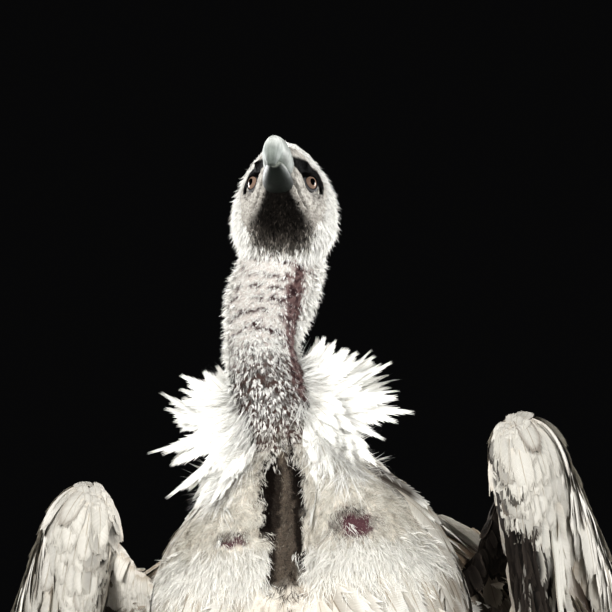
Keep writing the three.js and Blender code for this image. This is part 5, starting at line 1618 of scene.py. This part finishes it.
def wing_coverts(name, side, rng):
    place = wing_place(name)
    flat = lambda spot: place(*spot.T, 0.0)
    small = Coat(f"wing_{name}_coverts", BODY, "wing_feathers")

    def bone_place(v):
        return place(*through(BONE, v).T, through(BONE_HEIGHT, v))

    for over, rows in ((1, UPPER_ROWS), (-1, UNDER_ROWS)):
        point = wing_surface(place, over)
        for k, (share, long, spacing, low, high) in enumerate(rows):
            v = stations(share, spacing, low, high)
            n = len(v)
            v = np.clip(v + rng.normal(0, 0.02, n), 0.05, BONE_LAST - 0.05)
            d = share + rng.normal(0, 0.03 if share < 0 else 1.0, n)
            at, normal, _, tv = surface_frame(point, v, d, 0.05, np.where(d < 0, 0.03, 0.8))
            wing_out = over * 40 * smooth(0, 40, d)[:, None] * (place(0, 0, 1) - place(0, 0, 0))
            up = outward(normal, at - bone_place(v) + wing_out)
            spot = wing_spot(v, d)
            way = unit(flat(spot + covert_run(v) * 5) - flat(spot))
            way = np.where((d > 0)[:, None], tv, square(way, up))
            raised = 0.03 if over > 0 else 0.08 * smooth(0, 20, d)[:, None]
            along = unit(way + up * raised + rng.normal(0, 0.05, (n, 3)))
            up = square(up, along)
            base, edge = covert_tones(side, over, v, d, rng)
            size = long * rng.uniform(0.88, 1.1, n)
            bend = hug(at, along, up, size, 0.05) if share < 8 else 0.05 if over > 0 else 0.1
            size = size * (1.05 if share < 1 else 1 - 0.35 * bell(v - 4.2, 0.7))
            size = size * (0.72 if share < -1.1 else 1)
            lay(small, COVERT_FORMS, at - up, along, up, size, long * 0.15 + spacing * 1.2,
                plumage(base, edge, CREAM, 0.5, 0.8, 0.75), limb_spots(at), rng, bend=bend,
                lift=0.6 + 0.06 * k, twist=rng.normal(0, 0.08, n))
    # A cap of small feathers on the ridge of the wrist, from its top down both ways.
    n = 28
    for ridge in (-1.36, -1.25, -1.14, -1.03, -0.92, -0.8):
        v = 3.2 + 0.1 * np.arange(n) + rng.normal(0, 0.03, n)
        at, normal, tu, _ = surface_frame(wing_surface(place), v, np.full(n, ridge), 0.05, 0.03)
        up = outward(normal, at - bone_place(v))
        core = through(BONE, v)
        falling = unit(flat(core + 5 * covert_run(v)) - flat(core))
        parted = np.clip((v - 3.4) * 2.5, -1, 1)[:, None]
        along = square(unit(unit(tu) * parted + 0.35 * falling + rng.normal(0, 0.05, (n, 3))), up)
        base, edge = shades(n, (0.52, 0.50, 0.455), rng, 0.05), shades(n, (0.47, 0.445, 0.40), rng, 0.05)
        long = rng.uniform(12, 15, n)
        lay(small, COVERT_FORMS, at - up * 0.6, along, up, long, 11,
            plumage(base, edge, CREAM, 0.5, 0.8, 0.75), limb_spots(at), rng,
            bend=1.25 * hug(at, along, up, long), lift=0.9, twist=rng.normal(0, 0.06, n))
    small.build()


def shoulder_coat(name, side, rng):
    """The shoulder's own feathers, over the root of the arm."""
    shoulder = Coat(f"shoulder_{name}", BODY, "body_plumage")
    start, end, run, _, high = arm_frame(name)
    dark_shares = (0.03, 0.03, 0.04, 0.05, 0.06, 0.3)
    layers, last_turn, n, rises = 6, 128, 16, [46, 62, 60, 52]
    if side < 0:
        layers, last_turn, n, rises = 4, 70, 11, [34, 38, 42, 42]
    for layer in range(layers):
        turn = np.linspace(-62, last_turn, 16)[:n] + 6 * (layer % 2)
        around = np.radians(turn) + rng.normal(0, 0.04, n)
        t = -0.16 + 0.085 * layer + rng.normal(0, 0.012, n)
        rise = mix(np.interp(t, [-0.16, 0.0, 0.14, 0.3], rises), 38, np.sin(np.abs(around)) ** 2)[:, None]
        out = unit(high * np.cos(around)[:, None] - np.array([0, 1.0, 0]) * np.sin(around)[:, None])
        at = mix(start, end, t[:, None]) + out * rise
        along = unit(run + [0, 0, -0.15] + rng.normal(0, 0.06, (n, 3)))
        pale = shades(n, (0.90, 0.88, 0.83), rng, 0.04)
        base = mix(pale, (0.03, 0.022, 0.017), ((rng.random(n) < dark_shares[layer]) * 0.9)[:, None])
        edge = shades(n, (0.84, 0.81, 0.75), rng, 0.04)
        behind = smooth(10, -30, turn)[:, None]
        base, edge = mix(base, (0.26, 0.205, 0.15), behind), mix(edge, (0.55, 0.47, 0.37), behind)
        lay(shoulder, BREAST_FORMS if layer < 4 else COVERT_FORMS, at, along, square(out, along),
            rng.uniform(46, 58, n), rng.uniform(21, 27, n), plumage(base, edge, WHITE, 0.5, 0.72, 0.95),
            limb_spots(at), rng, bend=0.12, lift=0.5, twist=rng.normal(0, 0.12, n))
    shoulder.build()


def scapulars(name, side):
    """Scapulars and tertials."""
    place = wing_place(name)
    coat = Coat(f"scapulars_{name}", FLIGHT, "wing_feathers")
    start, end, _, _, high = arm_frame(name)
    wing_out = place(0, 0, 1) - place(0, 0, 0)
    wing_run = place(math.sin(math.radians(52)), math.cos(math.radians(52)), 0) - place(0, 0, 0)
    for layer, (count, size) in enumerate([(12, 1.0), (11, 0.62), (10, 0.4)]):
        for i, t in enumerate(np.linspace(0, 1, count)):
            root = mix(start, end, mix(0.3, 0.97, t)) + high * mix(21 if side > 0 else 6, 4, t)
            along = unit(mix(np.array([side * 0.14, 0.7, -0.66]), wing_run, t))
            across = unit(np.cross(along, unit(mix(np.array([side * 0.45, 0.62, 0.64]), wing_out, t))))
            up = unit(np.cross(across, along))
            root = root + up * (mix(15, 13, t) + 3.2 * layer) - along * 14 * layer
            s, y, h, edge, faces = blade(14, FLIGHT_SHAPE, 0.6, 300 + 20 * layer + i)
            length, width = mix(150, 236, t) * size, 24 if layer == 0 else 19
            lift = h + 2.5 * (1 - edge**2) - 2.2e-4 * (s * length) ** 2
            points = root + along * (s * length)[:, None] + across * (y * width)[:, None] + up * lift[:, None]
            tone = greater_tone if layer < 2 else median_tone
            corner = (0.01 + 0.33 * layer, 0.02)
            add_vane(coat, points, faces, s, edge, length, tone, i, count, corner, (0.31, 0.94))
    coat.build()


for name, side in SIDES.items():
    rng = dice(51 if side > 0 else 52)
    wing_quills(name)
    wing_coverts(name, side, rng)
    shoulder_coat(name, side, rng)
    scapulars(name, side)

# ---------------------------------------------------------------- tail

tail = Coat("tail_feathers", FLIGHT, "tail_feathers")
base_at = section(0.0)[0][:3]
slope = math.radians(TAIL["slope"])
tail_run = np.array([0, math.cos(slope), math.sin(slope)])
tail_up = np.array([0, -math.sin(slope), math.cos(slope)])


def rump_tone(s, side, i, count):
    base = np.array([0.11, 0.082, 0.06]) * (0.8 + 0.3 * ((i * 7) % 5) / 4)
    return mix(base, (0.30, 0.25, 0.19), rim_share(s, side, 0.5, 0.8) * 0.7)


TAIL_ROWS = [  # count, spread, length, width, lift, tone
    (12, TAIL["spread"], TAIL["length"], TAIL["width"], 0, dark_flight),
    (10, 12, 132, 34, 6, rump_tone), (10, 11, 104, 30, 9, rump_tone), (9, 10, 74, 28, 12, rump_tone),
    (8, 10, 120, 40, -14, median_tone), (7, 9, 84, 34, -18, median_tone),
]
for layer, (count, fan, length, width, lift, shade) in enumerate(TAIL_ROWS):
    for i, t in enumerate(np.linspace(-1, 1, count)):
        turn = math.radians(fan * t)
        run = tail_run * math.cos(turn) + X_AXIS * math.sin(turn)
        across = X_AXIS * math.cos(turn) - tail_run * math.sin(turn)
        root = base_at + X_AXIS * 22 * t + tail_run * 14 + tail_up * (lift - (count - 1) * 0.7 * abs(t))
        s, y, h, edge, faces = blade(16, FLIGHT_SHAPE, 0.7, 400 + 20 * layer + i)
        long = length * (1 - 0.08 * t * t) * (1 if layer == 0 else 0.9 + 0.15 * ((i * 5) % 7) / 6)
        high = h + 2 * (1 - edge**2) - 9e-5 * (s * long) ** 2
        points = root + run * (s * long)[:, None] + across * (y * width / 2)[:, None]
        points = points + tail_up * high[:, None]
        corner = (0.01 + 0.163 * layer, 0.02)
        add_vane(tail, points, faces, s, edge, long, shade, i, count, corner, (0.155, 0.94))
tail.build("tail")

# ---------------------------------------------------------------- bill


def upper_bill():
    """Rings from under the face to the hook, and at each point how far forward it is, the cosine of its turn
    from the ridge and its distance from the nostril's middle, as a share of its size."""
    table = UPPER_BILL.copy()
    table[3:] = [[66, -3.6, 11.6, 9.4], [75, -8.8, 10.4, 7.9], [80, -15.5, 9.2, 6.8], [82, -21.5, 7.4, 5.6],
                 [81.4, -26.5, 3.6, 3.4]]
    x = np.linspace(0, len(table) - 1, 72)
    step = heading(table, x)
    slope = np.arctan2(step[:, 1], step[:, 0]) * smooth(0.6, 1.6, x)
    turn = circle(56)[None]
    cos, sin = np.cos(turn), np.sin(turn)
    narrow = np.where(cos > 0, 1 - 0.18 * cos, 1.0)
    forward, up, high, wide = through(table, x).T[:, :, None]
    edge = bell(turn - 2.25, 0.28) + bell(turn - 4.03, 0.28)  # the cutting edges stand out a little
    cere = smooth(51, 46, forward)
    grow = 1 + 0.035 * edge * smooth(80, 60, forward) + 0.035 * cere * smooth(0.2, 0.9, np.abs(sin))
    rise = high * cos * grow
    wave = 0.35 * np.sin(forward * 1.3) * cere
    over = (rise + up - NOSTRIL["up"]) / (NOSTRIL["height"] / 2)
    hole = np.hypot((forward - NOSTRIL["forward"]) / 2.2, over)
    dent = 3.2 * smooth(1.0, 0.55, hole) - 0.6 * bell(hole - 1.25, 0.3)
    wide = wide * (1 - 0.08 * smooth(60, 48, forward))
    out = wide * grow * narrow - dent * np.sign(np.abs(sin)) + wave
    lateral = -1.6 * smooth(40, 75, forward) + out * sin
    points = on_head(forward - np.sin(slope)[:, None] * rise, lateral, up + np.cos(slope)[:, None] * rise)
    return points, forward + 0 * rise, cos + 0 * rise, hole


def bill_half(name, rings, tone, grain, paint):
    points, faces = loft(rings)
    mesh_object(f"bill_{name}_horn", points, faces, paint, "bill_horn", (f"bill_{name}",), tone, grain)


def upper_half():
    rings, *values = upper_bill()
    forward, cos, hole = (v.ravel() for v in values)
    points = rings.reshape(-1, 3)
    side = np.sqrt(np.clip(1 - cos**2, 0, 1))
    streaks = rough(points * [1, 1, 0.3], 7, 61)
    up = in_head(points)[2]
    tone = tones(
        len(points), (0.48, 0.50, 0.485),
        (smooth(0.1, 1.0, cos) * 0.8, (0.80, 0.82, 0.79)),
        (smooth(-0.1, -0.8, cos) * 0.8, (0.10, 0.115, 0.105)),
        # painted shade on the sides behind the hook, against the light that falls on them
        (smooth(77, 64, forward) * smooth(0.5, 0.85, side) * 0.8, (0.17, 0.18, 0.17)),
        (smooth(-2, -17, up) * smooth(66, 76, forward) * 0.85, (0.13, 0.15, 0.137)),
        (smooth(-17, -25, up) * smooth(66, 76, forward) * 0.7, (0.06, 0.07, 0.063)),
        (smooth(0.1, 0.8, streaks) * smooth(82, 66, forward) * 0.5, (0.16, 0.18, 0.165)),
        (smooth(52, 44, forward) * side * smooth(-0.9, 0.6, streaks) * 0.8, (0.10, 0.11, 0.105)),
        # painted shade: the nostril's dent is painted nearly black, like a deep hole
        (smooth(0.95, 0.6, hole), (0.01, 0.01, 0.01)),
    )
    bill_half("upper", rings, tone, np.stack([forward * 0.05, cos * 2.2, streaks * 0.3], 1), HORN)


def lower_half():
    forward, half, top, bottom = through(LOWER_BILL, np.linspace(0, len(LOWER_BILL) - 1, 40)).T[:, :, None]
    turn = circle(40)[None]
    cos = np.cos(turn)
    up = np.where(cos > 0, top - 1.5 + 1.5 * cos, top - 1.5 + (top - 1.5 - bottom) * cos)
    lip = 0.5 * bell(turn - math.pi / 2, 0.3) + 0.5 * bell(turn - 1.5 * math.pi, 0.3)
    rings = on_head(forward + 0 * up, (half + lip) * np.sin(turn), up)
    forward, cos, turn = (np.broadcast_to(v, up.shape).ravel() for v in (forward, cos, turn))
    side = np.sqrt(np.clip(1 - cos**2, 0, 1))
    edge = bell(turn - math.pi / 2, 0.2)
    tone = tones(
        len(forward), (0.012, 0.015, 0.013),
        (smooth(0.6, 0.95, side) * smooth(44, 60, forward) * 0.6, (0.05, 0.062, 0.052)),
        (smooth(0.0, 0.15, cos), (0.45, 0.45, 0.41)),
        (edge * smooth(58, 64, forward) * 0.7, (0.3, 0.3, 0.28)),
        (edge * smooth(61, 55, forward) * 0.95, (0.008, 0.008, 0.008)),
        (smooth(71, 73.2, forward) * 0.9, (0.42, 0.43, 0.40)),
    )
    bill_half("lower", rings, tone, np.stack([forward * 0.06, cos * 2.0, 0 * cos], 1), DARK_HORN)


upper_half()
lower_half()

# ---------------------------------------------------------------- eyes and lids

# A lid's rim and the folds round it: out from the opening, and raised above the ball.
LID_FOLDS = [(-1.3, -1.4), (-0.2, 0.25), (0.2, 1.0), (0.75, 1.35), (1.35, 1.05), (1.8, 0.15), (2.35, 0.1),
             (3.0, 1.3), (3.8, 1.35), (4.4, 0.3), (5.0, 0.2), (5.7, 1.0), (6.5, 0.8), (7.3, -0.6),
             (8.6, -3.2)]


def eye_axes(side):
    look = gaze(side)
    sideways = unit(np.cross(head_way(0, 0, 1), look))
    return look, sideways, unit(np.cross(look, sideways))


def round_eye(side, a):
    """Ways square to the gaze, at turns round it."""
    _, sideways, upright = eye_axes(side)
    return sideways * np.cos(a)[:, None] + upright * np.sin(a)[:, None]


def eyeball(name, side):
    tilt = np.concatenate([np.linspace(0, 55, 45), np.linspace(58, 178, 28)])  # degrees from the gaze
    a = circle(56)
    t = np.radians(tilt)[:, None, None]
    size = EYE["radius"] * (1 + 0.035 * bell(tilt, 38))[:, None, None]  # the cornea bulges
    points, faces = loft(eye_middle(side) + size * (gaze(side) * np.cos(t) + round_eye(side, a) * np.sin(t)))
    spokes = np.tile(np.abs(a - math.pi), len(tilt))
    grain = np.stack([np.repeat(tilt, len(a)), spokes, np.zeros(len(points))], 1)
    mesh_object(f"eyeball_{name}", points, faces, EYES, "eye", (f"eye_{name}",), grain=grain)


def lids(name, side):
    """A rim about the opening, then folds that run out into the skin of the face."""
    steps = 96
    a = circle(steps)
    lower, upper = np.clip(-np.sin(a), 0, 1), np.clip(np.sin(a), 0, 1)
    opening = (EYE["opening"] - 1.1) * (1 - 0.26 * upper - 0.04 * lower + 0.06 * np.abs(np.cos(a)) ** 3)
    rings = []
    for out, raised in LID_FOLDS:
        away = opening + out * (1 + 0.3 * lower * smooth(1.5, 4, out))
        depth = np.sqrt(np.clip(EYE["radius"] ** 2 - np.minimum(away, 9.4) ** 2, 4, None))
        wrinkle = 0.18 * np.sin(a * 22 + out * 2.0) * smooth(1.0, 3.0, out)
        high = depth + raised * (1 + 0.5 * upper * (out < 2)) + wrinkle
        rings.append(eye_middle(side) + gaze(side) * high[:, None] + round_eye(side, a) * away[:, None])
    points = np.concatenate(rings)
    quads = ring_quads(len(LID_FOLDS), steps)
    corner = points[quads[:, 0]]
    facing = np.cross(points[quads[:, 1]] - corner, points[quads[:, 3]] - corner) @ gaze(side)
    quads = quads[:, ::-1] if facing.sum() < 0 else quads
    out = np.repeat([fold[0] for fold in LID_FOLDS], steps)
    # The creases between the folds are dark with painted shade, and the upper lid is black skin darkened with
    # painted shade of the brow.
    tone = tones(
        len(points), (0.17, 0.175, 0.18),
        (smooth(1.1, 0.5, out), (0.012, 0.010, 0.010)),
        (smooth(0.5, 0.1, np.abs(out - 2.1)), (0.02, 0.017, 0.016)),
        (smooth(0.6, 0.1, np.abs(out - 4.7)) * 0.8, (0.06, 0.055, 0.05)),
        (smooth(6.0, 7.5, out), (0.40, 0.37, 0.34)),
        (smooth(0.02, 0.3, np.tile(upper, len(LID_FOLDS))), (0.004, 0.0035, 0.0035)),
    )
    mesh_object(f"lids_{name}", points, quads, SKIN, "body_plumage", tone=tone)


for name, side in SIDES.items():
    eyeball(name, side)
    lids(name, side)

# ---------------------------------------------------------------- legs


def toe_path(side, turn, length, radius):
    a = math.radians(turn)
    way = np.array([math.sin(a) * side, -math.cos(a), 0])
    rise = [3, 2.6, -0.4, 0.6, -1.6]
    return [np.array([side * ANKLE[0], ANKLE[1], radius * 0.82 + rise[i]]) + way * length * t
            for i, t in enumerate((0, 0.3, 0.6, 0.84, 1))], way


def shank(heel, ankle):
    """The shank, with cross bands on its front."""
    def bands(share, turn):
        band = np.abs(np.sin(share * math.pi * 17)) ** 0.45
        return 1 + 0.07 * smooth(-0.3, 0.35, np.sin(turn)) * (band - 0.75)

    path = [heel + (heel - ankle) * 0.10, *(mix(heel, ankle, t) for t in (0.12, 0.5, 0.88)), ankle]
    radii = [[10.5, 12.5], [9, 10], [7.6, 8.6], [8.6, 9.6], [10, 11]]
    return sweep(path, radii, 150, 48, bands)


def toe(side, turn, length, radius):
    """A toe, with cross bands above and pads under it."""
    path, way = toe_path(side, turn, length, radius)
    radii = np.array([[1, 1], [0.92, 0.9], [1, 0.98], [0.8, 0.76], [0.62, 0.6]]) * radius
    rings = sweep(path, radii, 90, 36)
    centre = rings.mean(1, keepdims=True)
    tall = (rings[:, :, 2] - centre[:, :, 2]) / radius
    share = np.linspace(0, 1, 91)[:, None]
    band = np.abs(np.sin(share * math.pi * max(4, length / 7.5))) ** 0.45 - 0.75
    grow = 1 + 0.09 * smooth(-0.1, 0.5, tall) * band + 0.06 * smooth(0, -0.5, tall) * np.cos(share * 19)
    rings = centre + (rings - centre) * grow[..., None]
    end = rings[-1].mean(0)
    cap = [end + (rings[-1] - end) * k + way * 3.0 * m for k, m in ((0.86, 0.45), (0.55, 0.85), (0.2, 1.0))]
    return np.concatenate([rings, cap])


def sole(ankle):
    """The ball of the foot."""
    t, a = np.linspace(-1, 1, 24)[:, None, None], circle(40)[None, :, None]
    wide = np.sqrt(np.clip(1 - t**2, 0.0004, 1))
    rings = np.concatenate([15 * wide * np.cos(a), 16 * wide * np.sin(a), 13 * t + 0 * a], -1)
    return ankle + [0, 0, -9.0] + rings


def claw(side, turn, length, radius):
    path, way = toe_path(side, turn, length, radius)
    end = path[-1]
    points = [end - way * 2.0]
    for t in (0, 0.25, 0.5, 0.75, 1):
        drop = 2.2 * math.sin(math.pi * t) - (end[2] - 1.0) * t**2.2
        points.append(end + way * CLAW_LENGTH * math.sin(t * 1.35) + Z_AXIS * drop)
    radii = [[4.3, 4.4], [4.4, 4.6], [3.8, 4.1], [2.8, 3.2], [1.7, 2.0], [0.35, 0.4]]
    return sweep(points, radii, 40, 24)


def on_floor(rings):
    points, faces = joined([loft(r) for r in rings])
    points[:, 2] = np.maximum(points[:, 2], 0.05)
    return points, faces


for name, side in SIDES.items():
    heel, ankle = mirrored(HEEL, side), mirrored(ANKLE, side)
    points, faces = on_floor([shank(heel, ankle), *(toe(side, *row) for row in TOES.values()), sole(ankle)])
    tone = tones(len(points), (0.27, 0.275, 0.29), (smooth(16, 0, points[:, 2]) * 0.6, (0.17, 0.165, 0.17)),
                 (smooth(90, 130, points[:, 2]) * 0.5, (0.33, 0.32, 0.31)))
    mesh_object(f"leg_{name}", points, faces, SCALES, "scaled_skin", (f"tarsus_{name}", f"foot_{name}"), tone)
    points, faces = on_floor([claw(side, *row) for row in TOES.values()])
    nodes = [f"claw_{name}_{toe_name}" for toe_name in TOES]
    tone = tones(len(points), (0.045, 0.042, 0.04))
    mesh_object(f"claws_{name}", points, faces, CLAW, "claw_horn", nodes, tone, points * 0.25)

# ---------------------------------------------------------------- floor, light and camera

floor_mesh = bpy.data.meshes.new("floor")
floor_mesh.from_pydata([(-30, -30, 0), (30, -30, 0), (30, 30, 0), (-30, 30, 0)], [], [(0, 1, 2, 3)])
floor_mesh.materials.append(Paint("floor", Base_Color=(0.34, 0.34, 0.335, 1), Roughness=0.9).material)
link("floor", floor_mesh)

scene = bpy.context.scene
world = bpy.data.worlds.new("studio")
world.use_nodes = True
colour, strength = world.node_tree.nodes["Background"].inputs[:2]
colour.default_value, strength.default_value = (0.004, 0.004, 0.0042, 1), 1.0
scene.world = world


def lamp(name, at, aim, size, power, colour=(1, 1, 1)):
    light = bpy.data.lights.new(name, "AREA")
    light.shape = "DISK"
    light.size, light.energy, light.color = size, power, colour
    piece = link(name, light)
    piece.location = at
    piece.rotation_euler = (Vector(aim) - Vector(at)).to_track_quat("-Z", "Y").to_euler()


lamp("key", (-0.8, -2.4, 0.5), (0, -0.1, 0.65), 1.2, 63, (1, 0.997, 0.985))
lamp("fill", (1.6, -2.0, 0.3), (0, 0, 0.65), 1.2, 44)
lamp("back_left", (-1.7, 0.9, 1.5), (0, 0, 0.65), 0.8, 75)
lamp("back_right", (1.8, 1.0, 1.4), (0, 0, 0.65), 0.8, 75)
scene.view_settings.view_transform = "Standard"
scene.view_settings.look = "Medium High Contrast"

SENSOR, FOCAL_PIXELS, PHOTO_PIXELS = 36, 1896, 612
CAMERA_UP, CAMERA_TURN = 26.3, 8  # degrees above the level, and round from straight ahead
camera = bpy.data.cameras.new("photo")
camera.sensor_width, camera.lens = SENSOR, SENSOR * FOCAL_PIXELS / PHOTO_PIXELS
camera.clip_start, camera.clip_end = 0.05, 50
view = link("photo", camera)
view.location = (0.2537, -1.5880, 0.060)
view.rotation_euler = (math.radians(90 + CAMERA_UP), 0, math.radians(CAMERA_TURN))
scene.camera = view
